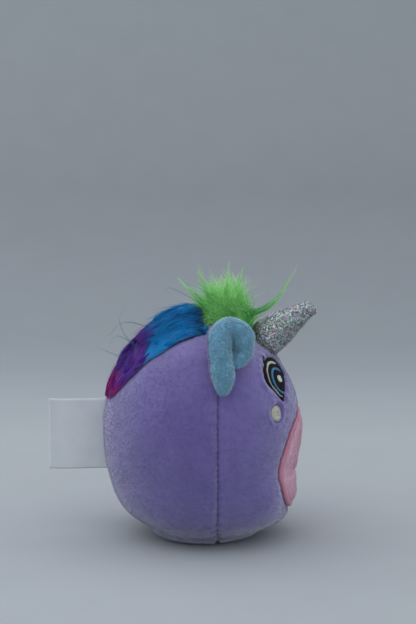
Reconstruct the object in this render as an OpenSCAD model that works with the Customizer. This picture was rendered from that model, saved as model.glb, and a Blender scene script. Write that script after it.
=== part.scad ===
// Squeezable ball-shaped plush unicorn: a velour cover over a slow-rise foam ball,
// with an appliqued snout, embroidered eyes, two rolled ears, a stuffed glitter horn,
// a long-pile forelock and mane, and a blank folded care label.
// The face looks along -Y, up is +Z and the toy's own right side is -X.
// The origin is the centre of the flat spot it rests on. All sizes are in millimetres.

/* [Ball] */
// radius of the upper part of the ball
crown_r = 41; // [40.5:0.1:41.5]
// height of the widest ring above the table
waist_z = 47; // [46.8:0.1:47.2]
// radius of the long arc from the widest ring down
flank_r = 70; // [69:0.5:72]
// radius of the arc that turns in to the flat spot
heel_r = 20; // [19.5:0.1:20.5]
// thickness of the velour cover
cover_t = 1.5; // [1.2:0.1:1.6]
// distance of the side seam in front of the ball's middle
side_seam_y = 7; // [6.5:0.1:7.5]
// width of the groove that each seam leaves
seam_gap = 0.4; // [0.3:0.05:0.5]

/* [Snout] */
// half of the snout patch's width
snout_half_w = 24.6; // [23:0.1:26]
// half of the snout patch's height
snout_half_h = 20; // [19:0.1:21]
// height of the snout patch's centre
snout_z = 32; // [31:0.1:33]
// how far the snout patch stands out of the cover
snout_t = 1.4; // [1:0.1:1.8]
// width of the satin-stitched border
border_w = 1.9; // [1.5:0.1:2.3]

/* [Eyes and cheeks] */
// angle of each eye out from straight ahead, seen from above
eye_turn = 35; // [34:0.5:36]
// angle of each eye above the widest ring
eye_lift = 30; // [29:0.2:31]
// half of the eye's oval along its longer axis
eye_half_l = 9.2; // [8.8:0.1:9.4]
// half of the eye's oval across
eye_half_w = 6.04; // [5.8:0.02:6.2]
// angle of each cheek spot out from straight ahead
cheek_turn = 42; // [41:0.5:43]
// angle of each cheek spot above the widest ring
cheek_lift = 8.3; // [7.5:0.1:9]
// radius of each cheek spot
cheek_r = 3.5; // [3:0.1:4]

/* [Ears] */
// radius of the rolled ear's tube where it arches
ear_tube_r = 4.1; // [3.9:0.05:4.1]
// radius of the circle that the arched tube follows
ear_arch_r = 4.5; // [4.4:0.05:4.6]
// length of the ear's straight leg
ear_leg = 19.8; // [19:0.1:20]
// radius of the leg's sewn tip
ear_tip_r = 2.4; // [2.2:0.05:2.4]

/* [Horn] */
// radius of the horn at the head
horn_r = 7.5; // [7:0.1:7.6]
// height of the rounded tip's centre along the horn
horn_len = 19.5; // [18:0.1:20.5]
// radius of the rounded tip
horn_tip_r = 3; // [2.6:0.1:3.2]
// angle of the horn's axis above level
horn_rise = 36; // [35:0.5:37]
// thickness of the glitter fabric
horn_skin = 0.8; // [0.6:0.05:1]

/* [Hair] */
// radius of the forelock's tuft
tuft_r = 13.2; // [12.5:0.1:13.4]
// radius of the mane's rounded back across its width
mane_cross_r = 24; // [23:0.1:24.5]
// distance from the mane's turning centre to the middle of that rounded back
mane_ring_r = 19.5; // [19:0.1:20]

/* [Label] */
// height of the folded label
label_h = 28.5; // [26:0.5:30]
// how far the label stands out behind the ball
label_out = 22; // [20:0.5:24]
// thickness of one layer of ribbon
ribbon_t = 0.25; // [0.2:0.05:0.3]

/* [Hidden] */
$fn = 72;
big = 200;
snug = 0.3;
flank_x = flank_r - crown_r;
heel_x = sqrt(pow(flank_r - heel_r, 2) - pow(waist_z - heel_r, 2)) - flank_x;
heel_turn = atan2(waist_z - heel_r, heel_x + flank_x);
rib_z = waist_z - flank_x * tan(heel_turn);
foam_inset = cover_t + 0.5;
fleece_in = cover_t + 0.4;
fleece_out = cover_t + 0.1;
thread_in = 1.1;
thread_out = 0.6;
thread_w = 0.28;
horn_y = -27;
horn_z = 80;
socket_r = horn_r + snug;
horn_swing = 12;
ear_pos = [-29.4, -12.1, 82.6];
ear_turn = 71.2;
ear_lift = 25.5;
ear_roll = -5.3;
ear_split = -0.9;
eye_middle = [2.85, 1.07];
eye_slant = 27;
layer_gap = 0.2;
leg_root = 0.6;
mane_y = -3;
mane_z = 52.5;
mane_edge = 0.5;
blue_end = 40;
purple_end = 62;
magenta_end = 88;
pile_floor = 0.95;
label_z = 41;
label_gap = 0.5;

// ---- the ball's outline, grown or shrunk by a distance, split where its arcs meet ----

module wedge(x, z, from, to) {
    polygon([
        [x, z],
        [x + big * cos(from), z + big * sin(from)],
        [x + big * cos(to), z + big * sin(to)]
    ]);
}

module right_half() {
    translate([0, -big / 2])
        square([big, 2 * big]);
}

module ball_outline(grow) {
    intersection() {
        translate([0, waist_z])
            circle(r = crown_r + grow);
        translate([0, waist_z])
            square(big);
    }
    intersection() {
        translate([-flank_x, waist_z])
            circle(r = flank_r + grow, $fn = 180);
        wedge(-flank_x, waist_z, -heel_turn, 0);
        right_half();
    }
    intersection() {
        translate([heel_x, heel_r])
            circle(r = heel_r + grow);
        wedge(heel_x, heel_r, -90, -heel_turn);
    }
    polygon([[0, -grow], [heel_x, -grow], [heel_x, heel_r], [0, rib_z]]);
}

module ball(grow) {
    rotate_extrude()
        ball_outline(grow);
}

// a skin of the ball between two distances from its outside
module skin(inner, outer) {
    rotate_extrude()
        difference() {
            ball_outline(outer);
            ball_outline(inner);
        }
}

// the same for the round upper part alone
module cap(inner, outer) {
    translate([0, 0, waist_z])
        difference() {
            sphere(r = crown_r + outer);
            sphere(r = crown_r + inner);
        }
}

// puts a child on the head: its Z points out of the head, its Y up and its X to the toy's left
module on_head(turn, lift) {
    translate([0, 0, waist_z])
        rotate([0, 0, turn])
            rotate([90 - lift, 0, 0])
                children();
}

module left_side() {
    mirror([1, 0, 0])
        children();
}

module through_face() {
    rotate([90, 0, 0])
        linear_extrude(height = 70)
            children();
}

// the horn's own frame: Z runs along the horn from the middle of its base
module on_horn(tilt) {
    translate([0, horn_y, horn_z])
        rotate([90 - horn_rise + tilt, 0, 0])
            children();
}

module horn_socket() {
    translate([0, horn_y, horn_z])
        sphere(r = socket_r);
}

// ---- cover and filling ----

module foam_core() {
    color("#e9dfc4")
        difference() {
            ball(-foam_inset);
            horn_socket();
        }
}

module face_panel() {
    color("#9f8ad6")
        difference() {
            skin(-cover_t, 0);
            translate([-big / 2, -side_seam_y - seam_gap / 2, -big / 2])
                cube(big);
            horn_socket();
        }
}

module back_panel(side) {
    color("#9f8ad6")
        intersection() {
            skin(-cover_t, 0);
            translate([side > 0 ? seam_gap / 2 : -big - seam_gap / 2, seam_gap / 2 - side_seam_y, -big / 2])
                cube(big);
        }
}

module back_panel_right() {
    back_panel(-1);
}

module back_panel_left() {
    back_panel(1);
}

// soft non-woven sheet behind all the embroidery
module embroidery_backing() {
    color("#f2f2ee")
        difference() {
            intersection() {
                skin(-fleece_in, -fleece_out);
                translate([-big / 2, -big - 20, 8])
                    cube([big, big, 70]);
            }
            horn_socket();
        }
}

// ---- seams ----

module dashes(count, axis) {
    for (i = [0 : count - 1])
        translate([0, 0, waist_z - 2])
            rotate(i * 180 / count * axis)
                translate([-big / 2, -big / 2, -0.5])
                    cube([big, big, 1]);
}

module side_seam_thread() {
    color("#6f5fae")
        difference() {
            intersection() {
                skin(-thread_in, -thread_out);
                translate([-big / 2, -side_seam_y - thread_w / 2, -big / 2])
                    cube([big, thread_w, big]);
            }
            dashes(14, [0, 1, 0]);
        }
}

module back_seam_thread() {
    color("#6f5fae")
        difference() {
            intersection() {
                skin(-thread_in, -thread_out);
                translate([-thread_w / 2, 1 - side_seam_y, -big / 2])
                    cube([thread_w, big, big]);
            }
            dashes(14, [1, 0, 0]);
        }
}

// hand-sewn ladder stitches that close the filling hole, low on the back
module closing_stitches() {
    color("#6f5fae")
        for (z = [12 : 2.2 : 25.2])
            translate([-1.3, sqrt(pow(flank_r, 2) - pow(z - waist_z, 2)) - flank_x + 0.35, z])
                rotate([0, 90, 0])
                    cylinder(r = 0.22, h = 2.6, $fn = 24);
}

// ---- snout ----

module oval(half_w, half_h) {
    scale([half_w / half_h, 1])
        circle(r = half_h, $fn = 180);
}

module snout_patch() {
    color("#f3a8bd")
        intersection() {
            skin(0.1, snout_t, $fn = 180);
            translate([0, 0, snout_z])
                through_face()
                    oval(snout_half_w - border_w - 0.25, snout_half_h - border_w - 0.25);
        }
}

module snout_border_stitch() {
    color("#f08aa6")
        intersection() {
            skin(0.1, snout_t + 0.4, $fn = 180);
            translate([0, 0, snout_z])
                through_face()
                    difference() {
                        oval(snout_half_w, snout_half_h);
                        oval(snout_half_w - border_w, snout_half_h - border_w);
                    }
        }
}

module mouth_stitch() {
    smile_r = 16.9;
    color("#7a2f4c")
        intersection() {
            skin(snout_t + 0.1, snout_t + 0.6);
            translate([0, 0, snout_z - 6 + smile_r])
                through_face()
                    intersection() {
                        difference() {
                            circle(r = smile_r + 0.6);
                            circle(r = smile_r - 0.6);
                        }
                        wedge(0, 0, -135, -45);
                    }
        }
}

// ---- embroidered eyes and cheek spots, drawn for the toy's right side ----

module eye_outline(shrink) {
    translate(eye_middle)
        rotate(eye_slant)
            scale([(eye_half_l - shrink) / (eye_half_w - shrink), 1])
                circle(r = eye_half_w - shrink, $fn = 144);
    polygon([
        eye_middle,
        [-4.2 + shrink, -3.5],
        [0.7, -10.6 + 1.4 * shrink],
        [8.5 - shrink, -1.6]
    ]);
}

// band of the given width along a circle's arc
module arc_band(middle, radius, width, from, to) {
    translate(middle)
        intersection() {
            difference() {
                circle(r = radius + width / 2, $fn = 144);
                circle(r = radius - width / 2, $fn = 144);
            }
            wedge(0, 0, from, (from + to) / 2);
        }
    translate(middle)
        intersection() {
            difference() {
                circle(r = radius + width / 2, $fn = 144);
                circle(r = radius - width / 2, $fn = 144);
            }
            wedge(0, 0, (from + to) / 2 - 1, to);
        }
}

module on_eye(inner, outer) {
    intersection() {
        cap(inner, outer);
        on_head(-eye_turn, eye_lift)
            linear_extrude(height = 60)
                children();
    }
}

module eye_black() {
    on_eye(0.05, 0.7)
        eye_outline(0);
}

module eye_white() {
    on_eye(0.75, 1)
        arc_band([3, -2], 7.3, 0.7, 70, 240);
}

module eye_blue() {
    on_eye(0.75, 1)
        arc_band([3.1, -2.6], 5.05, 0.8, 50, 258);
}

module eye_highlight() {
    on_eye(0.75, 1)
        translate([3.15, -1.9])
            circle(r = 1.3);
}

module cheek() {
    intersection() {
        cap(0.05, 0.9);
        on_head(-cheek_turn, cheek_lift)
            cylinder(r = cheek_r, h = 60);
    }
}

module right_eye_black() {
    color("#1a0d10")
        eye_black();
}

module right_eye_white() {
    color("#efe9da")
        eye_white();
}

module right_eye_blue() {
    color("#3b9fc0")
        eye_blue();
}

module right_eye_highlight() {
    color("#f6f4ee")
        eye_highlight();
}

module right_cheek_spot() {
    color("#f2efe4")
        cheek();
}

module left_eye_black() {
    color("#1a0d10")
        left_side()
            eye_black();
}

module left_eye_white() {
    color("#efe9da")
        left_side()
            eye_white();
}

module left_eye_blue() {
    color("#3b9fc0")
        left_side()
            eye_blue();
}

module left_eye_highlight() {
    color("#f6f4ee")
        left_side()
            eye_highlight();
}

module left_cheek_spot() {
    color("#f2efe4")
        left_side()
            cheek();
}

// ---- ears: a rolled tube that arches over and runs down one straight leg to its sewn tip ----

module on_ear() {
    translate(ear_pos)
        rotate([0, 0, -ear_turn])
            rotate([90 - ear_lift, 0, 0])
                rotate([0, 0, ear_roll])
                    children();
}

module ear_roll_shape() {
    rotate([0, 0, -75])
        rotate_extrude(angle = 255)
            translate([ear_arch_r, 0])
                circle(r = ear_tube_r);
    translate([-ear_arch_r, leg_root, 0])
        rotate([90, 0, 0])
            cylinder(r1 = ear_tube_r - 0.1, r2 = ear_tip_r, h = ear_leg + leg_root);
    translate([-ear_arch_r, -ear_leg, 0])
        intersection() {
            sphere(r = ear_tip_r);
            translate([-10, -20, -10])
                cube([20, 20, 20]);
        }
}

module ear_lining() {
    on_ear()
        difference() {
            ear_roll_shape();
            translate([-big / 2, -big / 2, ear_split - big])
                cube(big);
            translate([2.8, -3.4, 3.8])
                sphere(r = 3.7);
        }
}

module ear_back() {
    on_ear()
        intersection() {
            ear_roll_shape();
            translate([-50, -50, ear_split - layer_gap - 20])
                cube([100, 100, 20]);
        }
}

// bar of thread on the cover just under the ear's tip
module ear_tack() {
    intersection() {
        cap(0.05, 0.45);
        translate([-60, -11.2, 60.4])
            cube([60, 4.4, 0.8]);
    }
}

module right_ear_lining() {
    color("#8fd0e6")
        ear_lining();
}

module right_ear_back() {
    color("#9f8ad6")
        ear_back();
}

module right_ear_tack() {
    color("#6f5fae")
        ear_tack();
}

module left_ear_lining() {
    color("#8fd0e6")
        left_side()
            ear_lining();
}

module left_ear_back() {
    color("#9f8ad6")
        left_side()
            ear_back();
}

module left_ear_tack() {
    color("#6f5fae")
        left_side()
            ear_tack();
}

// ---- horn ----

module horn_outline(inset) {
    base = horn_r - inset;
    tip = horn_tip_r - inset;
    slope = acos(tip / norm([base, horn_len])) - atan2(horn_len, base);
    polygon([
        [0, -base / 2],
        [base, 0],
        [tip * cos(slope), horn_len + tip * sin(slope)],
        [0, horn_len + tip / 2]
    ]);
    intersection() {
        translate([0, horn_len])
            circle(r = tip);
        wedge(0, horn_len, slope, 90);
    }
    intersection() {
        circle(r = base);
        translate([0, -big])
            square(big);
    }
}

module horn_cover() {
    color("#c9ccd4")
        on_horn(0)
            rotate_extrude()
                difference() {
                    horn_outline(0);
                    horn_outline(horn_skin);
                }
}

module horn_stuffing() {
    color("#f4f4f2")
        on_horn(0)
            rotate_extrude()
                horn_outline(horn_skin + 0.15);
}

module horn_base_stitch() {
    color("#b9bcc6")
        difference() {
            intersection() {
                cap(0.05, 0.45);
                on_horn(0)
                    difference() {
                        translate([0, 0, -12])
                            cylinder(r = 9, h = 18);
                        translate([0, 0, -13])
                            cylinder(r = 8.2, h = 20);
                    }
            }
            on_horn(0)
                for (i = [0 : 11])
                    rotate([0, 0, i * 15])
                        translate([-20, -0.3, -20])
                            cube([40, 0.6, 40]);
        }
}

// ---- forelock: backing fabric and a tuft of long pile with a few standing locks ----

module forelock_backing() {
    color("#3f9a46")
        difference() {
            intersection() {
                cap(0.1, 0.8);
                translate([-9, -20, 60])
                    cube([18, 12, 40]);
            }
            on_horn(0)
                translate([0, 0, -12])
                    cylinder(r = 9.3, h = 24);
        }
}

module lock(turn, lean, length) {
    rotate([0, 0, turn])
        rotate([lean, 0, 0])
            cylinder(r1 = 4.2, r2 = 0.5, h = length, $fn = 36);
}

module forelock_pile() {
    color("#63c653")
        difference() {
            union() {
                translate([0, -13.6, 87.4])
                    sphere(r = tuft_r);
                translate([0, -13, 88]) {
                    lock(4, 62, 22);
                    lock(34, 40, 20.5);
                    lock(-38, 36, 20);
                    lock(-6, 16, 21);
                    lock(150, 24, 20);
                    lock(-150, 12, 18.5);
                }
            }
            ball(pile_floor);
            on_horn(-horn_swing)
                translate([-big / 2, horn_r + 0.7 - big, -big / 2])
                    cube(big);
            translate([-big / 2, mane_y - mane_edge, -big / 2])
                cube(big);
        }
}

// ---- mane: backing fabric and three lengths of coloured pile, one behind the other ----

module mane_turn(from, to) {
    translate([0, mane_y, mane_z])
        rotate([from, 0, 0])
            rotate([0, 90, 0])
                rotate([0, 0, 180])
                    rotate_extrude(angle = to - from, $fn = 180)
                        children();
}

module mane_cross_section() {
    intersection() {
        translate([mane_ring_r, 0])
            circle(r = mane_cross_r, $fn = 144);
        translate([mane_ring_r, -big / 2])
            square(big);
    }
}

module mane_block(from, to) {
    difference() {
        mane_turn(-to, -from)
            mane_cross_section();
        ball(pile_floor, $fn = 180);
    }
}

module mane_end(radius) {
    translate([0, mane_y, mane_z])
        rotate([-58, 0, 0])
            cylinder(r = radius, h = 80, $fn = 180);
}

module mane_backing() {
    color("#2d4a78")
        intersection() {
            cap(0.1, 0.8);
            translate([-12.5, -1, 60])
                cube([25, big, big]);
        }
}

module mane_pile_blue() {
    color("#1668b4")
        mane_block(0, blue_end - 0.2);
}

module mane_pile_purple() {
    color("#5d2f9d")
        mane_block(blue_end + 0.2, purple_end - 0.2);
}

module mane_pile_magenta() {
    color("#b52a9c")
        intersection() {
            mane_block(purple_end + 0.2, magenta_end);
            mane_end(20);
        }
}

// ---- care label: one ribbon folded double, its two free ends towards the ball ----

module label_fold() {
    half = ribbon_t + 0.25;
    translate([-half, crown_r - 6])
        square([ribbon_t, label_out + 6 - half]);
    translate([half - ribbon_t, crown_r - 6])
        square([ribbon_t, label_out + 6 - half]);
    translate([0, crown_r + label_out - half])
        difference() {
            circle(r = half);
            circle(r = half - ribbon_t);
            translate([-5, -10])
                square([10, 10]);
        }
}

module care_label() {
    color("#eef1f4")
        difference() {
            translate([0, 0, label_z - label_h / 2])
                linear_extrude(height = label_h)
                    label_fold();
            ball(label_gap);
        }
}

module label_stitch() {
    color("#dfe3e8")
        for (z = [label_z - label_h / 2 + 2 : 3 : label_z + label_h / 2 - 1])
            translate([0, sqrt(pow(flank_r, 2) - pow(z - waist_z, 2)) - flank_x - 1.65, z - 0.8])
                cylinder(r = 0.15, h = 1.6, $fn = 16);
}

foam_core();
face_panel();
back_panel_right();
back_panel_left();
embroidery_backing();
side_seam_thread();
back_seam_thread();
closing_stitches();
snout_patch();
snout_border_stitch();
mouth_stitch();
right_eye_black();
right_eye_white();
right_eye_blue();
right_eye_highlight();
right_cheek_spot();
left_eye_black();
left_eye_white();
left_eye_blue();
left_eye_highlight();
left_cheek_spot();
right_ear_lining();
right_ear_back();
right_ear_tack();
left_ear_lining();
left_ear_back();
left_ear_tack();
horn_cover();
horn_stuffing();
horn_base_stitch();
forelock_backing();
forelock_pile();
mane_backing();
mane_pile_blue();
mane_pile_purple();
mane_pile_magenta();
care_label();
label_stitch();
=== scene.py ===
import math
from contextlib import contextmanager

import bmesh
import bpy
import numpy as np
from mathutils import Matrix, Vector
from mathutils.bvhtree import BVHTree


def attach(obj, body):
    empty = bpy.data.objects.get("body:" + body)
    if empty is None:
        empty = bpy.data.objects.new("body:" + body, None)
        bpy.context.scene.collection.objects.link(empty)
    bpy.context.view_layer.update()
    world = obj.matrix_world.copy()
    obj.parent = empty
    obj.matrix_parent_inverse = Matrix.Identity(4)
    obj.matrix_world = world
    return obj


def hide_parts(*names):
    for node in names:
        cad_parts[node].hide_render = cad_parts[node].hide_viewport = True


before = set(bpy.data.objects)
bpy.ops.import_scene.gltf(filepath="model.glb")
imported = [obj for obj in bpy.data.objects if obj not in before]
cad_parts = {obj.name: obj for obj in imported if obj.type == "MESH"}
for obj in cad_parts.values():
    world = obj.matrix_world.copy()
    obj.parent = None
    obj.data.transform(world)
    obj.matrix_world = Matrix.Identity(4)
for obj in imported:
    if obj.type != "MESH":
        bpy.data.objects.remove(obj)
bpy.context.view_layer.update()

# All shapes below are worked out in millimetres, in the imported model's frame, and scaled here.
MM = 0.001
# the ball: its side seam, its widest ring's height, and its outline's three radii from top to bottom
FACE_SEAM_Y, WAIST_Z = -7.0, 47.0
CROWN_R, FLANK_R, HEEL_R = 41.0, 70.0, 20.0
HEEL_X = math.sqrt((FLANK_R - HEEL_R) ** 2 - (WAIST_Z - HEEL_R) ** 2) - (FLANK_R - CROWN_R)
HEEL_TURN = math.atan2(WAIST_Z - HEEL_R, HEEL_X + FLANK_R - CROWN_R)
MIDDLE = np.array([0, 0, WAIST_Z])
# the snout's half-width, half-height, middle and border
SNOUT_W, SNOUT_H, SNOUT_Z, BORDER_W = 22.8, 20.0, 32.0, 1.9
# the right eye and cheek spot: degrees round and up from the face's middle, then their own flat shape
EYE_TURN, EYE_LIFT = -32.8, 31.4
EYE_MIDDLE, EYE_HALF, EYE_SLANT, EYE_CORNER = (2.85, 1.07), (9.2, 6.04), math.radians(27), (0.7, -10.6)
CHEEK_TURN, CHEEK_LIFT, CHEEK_R = -40.8, 10.3, 3.0
# the horn: middle of its base, angle above level, and sizes
HORN_AT = np.array([0.0, -27.0, 80.0])
HORN_RISE = math.radians(36)
HORN_R, HORN_LEN, HORN_TIP_R = 7.5, 19.5, 3.0
# the right ear's own frame, and the length of its straight leg
EAR_AT = np.array([-29.4, -12.1, 82.6])
EAR_X = np.array([0.2833, -0.9554, -0.0837])
EAR_Y = np.array([0.4360, 0.0505, 0.8985])
EAR_Z = np.array([-0.8542, -0.2910, 0.4308])
EAR_LEG = 19.8

scene = bpy.context.scene


def linked(name, data):
    """An object in the scene for a mesh, camera or light."""
    ob = bpy.data.objects.new(name, data)
    scene.collection.objects.link(ob)
    return ob


# ---- camera ----

CAMERA_RISE, CAMERA_AWAY = math.radians(6.5), 0.5
LOOK_AT = Vector((0.0, -0.0032, 0.0904))
cam_data = bpy.data.cameras.new("camera")
cam_data.lens = 72
cam_data.sensor_width = 36
cam_data.clip_start = 0.01
cam_data.clip_end = 20
camera = linked("camera", cam_data)
camera.location = LOOK_AT + CAMERA_AWAY * Vector((-math.cos(CAMERA_RISE), 0, math.sin(CAMERA_RISE)))
camera.rotation_euler = (LOOK_AT - camera.location).to_track_quat("-Z", "Y").to_euler()
scene.camera = camera
scene.view_settings.view_transform = "Standard"


# ---- mesh helpers ----

def unit(v):
    return v / np.maximum(np.linalg.norm(v, axis=-1, keepdims=True), 1e-9)


def mesh_object(name, verts, faces, material=None, smooth=True, **attributes):
    """A mesh object from points in mm and a list of face arrays, each of one corner count."""
    me = bpy.data.meshes.new(name)
    verts = np.asarray(verts, float).reshape(-1, 3)
    faces = [np.asarray(f, np.int32) for f in (faces if isinstance(faces, list) else [faces])]
    me.vertices.add(len(verts))
    me.vertices.foreach_set("co", (verts * MM).astype(np.float32).ravel())
    loops = np.concatenate([f.ravel() for f in faces])
    totals = np.concatenate([np.full(len(f), f.shape[1], np.int32) for f in faces])
    me.loops.add(len(loops))
    me.loops.foreach_set("vertex_index", loops)
    me.polygons.add(len(totals))
    me.polygons.foreach_set("loop_start", np.concatenate([[0], np.cumsum(totals)[:-1]]).astype(np.int32))
    me.update(calc_edges=True)
    shaded(me, smooth)
    for key, values in attributes.items():
        layer = me.attributes.new(key, "FLOAT", "POINT")
        layer.data.foreach_set("value", np.asarray(values, np.float32).ravel())
    return placed(name, me, material)


def placed(name, me, material=None):
    """An object in the scene around a mesh, with one material if given."""
    me.name = name
    if material is not None:
        me.materials.clear()
        me.materials.append(material)
    return linked(name, me)


def shaded(me, smooth=True):
    me.polygons.foreach_set("use_smooth", np.full(len(me.polygons), smooth))
    return me


def given(ob, body, node=None):
    """Tells the frame which body a piece rides, and hides the CAD node it stands for."""
    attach(ob, body)
    if node:
        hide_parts(node)


def coords(ob):
    co = np.empty(len(ob.data.vertices) * 3, np.float32)
    ob.data.vertices.foreach_get("co", co)
    return co.reshape(-1, 3).astype(float) / MM


def set_coords(ob, verts):
    ob.data.vertices.foreach_set("co", (verts * MM).astype(np.float32).ravel())
    ob.data.update()


def normals(ob):
    no = np.empty(len(ob.data.vertices) * 3, np.float32)
    ob.data.vertex_normals.foreach_get("vector", no)
    return no.reshape(-1, 3).astype(float)


def baked(ob):
    """Replaces the object's mesh by what its modifiers make of it."""
    deps = bpy.context.evaluated_depsgraph_get()
    made = bpy.data.meshes.new_from_object(ob.evaluated_get(deps), depsgraph=deps)
    ob.modifiers.clear()
    ob.data = made
    return ob


def tubes(name, points, outward, width, height, sides, material, shade=None):
    """Closed tubes along n lines of k points. points and outward are (n, k, 3), width and height (n, k)."""
    n, k = points.shape[:2]
    along = unit(np.gradient(points, axis=1))
    outward = np.broadcast_to(outward, points.shape)
    across = unit(np.cross(along, outward))
    up = unit(np.cross(across, along))
    turn = 2 * np.pi * np.arange(sides) / sides
    width = np.broadcast_to(width, (n, k))[:, :, None, None]
    height = np.broadcast_to(height, (n, k))[:, :, None, None]
    ring = (points[:, :, None] + across[:, :, None] * np.cos(turn)[None, None, :, None] * width
            + up[:, :, None] * np.sin(turn)[None, None, :, None] * height)
    base = (np.arange(n) * k * sides)[:, None, None]
    i = np.arange(k - 1)[None, :, None] * sides
    j = np.arange(sides)[None, None, :]
    j2 = (j + 1) % sides
    low, high = base + i, base + i + sides
    quads = np.stack([low + j, low + j2, high + j2, high + j], -1).reshape(-1, 4)
    start = (np.arange(n) * k * sides)[:, None] + np.arange(sides)[None, ::-1]
    end = (np.arange(n) * k * sides + (k - 1) * sides)[:, None] + np.arange(sides)[None]
    t = np.broadcast_to(np.linspace(0, 1, k)[None, :, None], (n, k, sides))
    shade = np.zeros(n) if shade is None else shade
    s = np.broadcast_to(np.asarray(shade)[:, None, None], (n, k, sides))
    return mesh_object(name, ring, [quads, np.concatenate([start, end])], material, along=t, shade=s)


@contextmanager
def editing(me, result=None):
    """A BMesh of the mesh, written back at the end, or into another mesh."""
    bm = bmesh.new()
    bm.from_mesh(me)
    yield bm
    bm.to_mesh(result or me)
    bm.free()


def fixed_normals(ob):
    with editing(ob.data) as bm:
        bmesh.ops.recalc_face_normals(bm, faces=bm.faces)
    return ob


def grid_faces(nu, nv, wrap_v=False, flip=False):
    i = np.arange(nu - 1)[:, None]
    j = np.arange(nv if wrap_v else nv - 1)[None]
    j2 = (j + 1) % nv
    f = np.stack([i * nv + j, (i + 1) * nv + j, (i + 1) * nv + j2, i * nv + j2], -1).reshape(-1, 4)
    return f[:, ::-1] if flip else f


def disc_faces(rings, spokes):
    """Faces of a disc's top and underside, each of rings by spokes points, and of the rim between them."""
    count = rings * spokes
    rim = (rings - 1) * spokes + np.arange(spokes)
    rim2 = (rings - 1) * spokes + (np.arange(spokes) + 1) % spokes
    return [grid_faces(rings, spokes, True), grid_faces(rings, spokes, True, True) + count,
            np.stack([rim, rim + count, rim2 + count, rim2], -1)]


def end_fans(rings, sides):
    """Triangles from a tube's first and last ring to two points that come after the rings."""
    k = np.arange(sides)
    k2, last = (k + 1) % sides, (rings - 1) * sides
    return np.concatenate([np.stack([k, k2, np.full(sides, rings * sides)], -1),
                           np.stack([last + k2, last + k, np.full(sides, rings * sides + 1)], -1)])


def joined(name, parts):
    """One object from several made by the helpers above."""
    for ob in bpy.context.selected_objects:
        ob.select_set(False)
    for ob in parts:
        ob.select_set(True)
    bpy.context.view_layer.objects.active = parts[0]
    bpy.ops.object.join()
    ob = parts[0]
    ob.name = name
    ob.data.name = name
    ob.select_set(False)
    return ob


def scattered(source, count, rng):
    """Points spread evenly over a surface, the normals there, and the nearest corner's own normals."""
    me = source.data
    me.calc_loop_triangles()
    tri = np.empty(len(me.loop_triangles) * 3, np.int32)
    me.loop_triangles.foreach_get("vertices", tri)
    tri = tri.reshape(-1, 3)
    co, no = coords(source), normals(source)
    a, b, c = co[tri[:, 0]], co[tri[:, 1]], co[tri[:, 2]]
    area = np.linalg.norm(np.cross(b - a, c - a), axis=1)
    pick = rng.choice(len(tri), count, p=area / area.sum())
    r1, r2 = np.sqrt(rng.random((count, 1))), rng.random((count, 1))
    w0, w1, w2 = 1 - r1, r1 * (1 - r2), r1 * r2
    p = w0 * a[pick] + w1 * b[pick] + w2 * c[pick]
    n = unit(w0 * no[tri[pick, 0]] + w1 * no[tri[pick, 1]] + w2 * no[tri[pick, 2]])
    return p, n, no[tri[pick, 0]]


# ---- smooth noise, seeded ----

class Waves:
    """Smooth noise over points in mm, as a sum of waves in random directions."""

    def __init__(self, seed, size, count=14):
        rng = np.random.default_rng(seed)
        self.k = unit(rng.normal(size=(count, 3))) * (2 * np.pi / (size * rng.uniform(0.7, 1.6, (count, 1))))
        self.p = rng.uniform(0, 2 * np.pi, count)

    def __call__(self, points):
        return np.sin(points @ self.k.T + self.p).sum(-1) * math.sqrt(2 / len(self.p))


# ---- materials ----

def rgb(r, g, b):
    """Linear colour of an sRGB one in 0 to 255."""
    out = []
    for c in (r, g, b):
        c = c / 255
        out.append(c / 12.92 if c <= 0.04045 else ((c + 0.055) / 1.055) ** 2.4)
    return (*out, 1.0)


WHITE = (1, 1, 1, 1)


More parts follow.
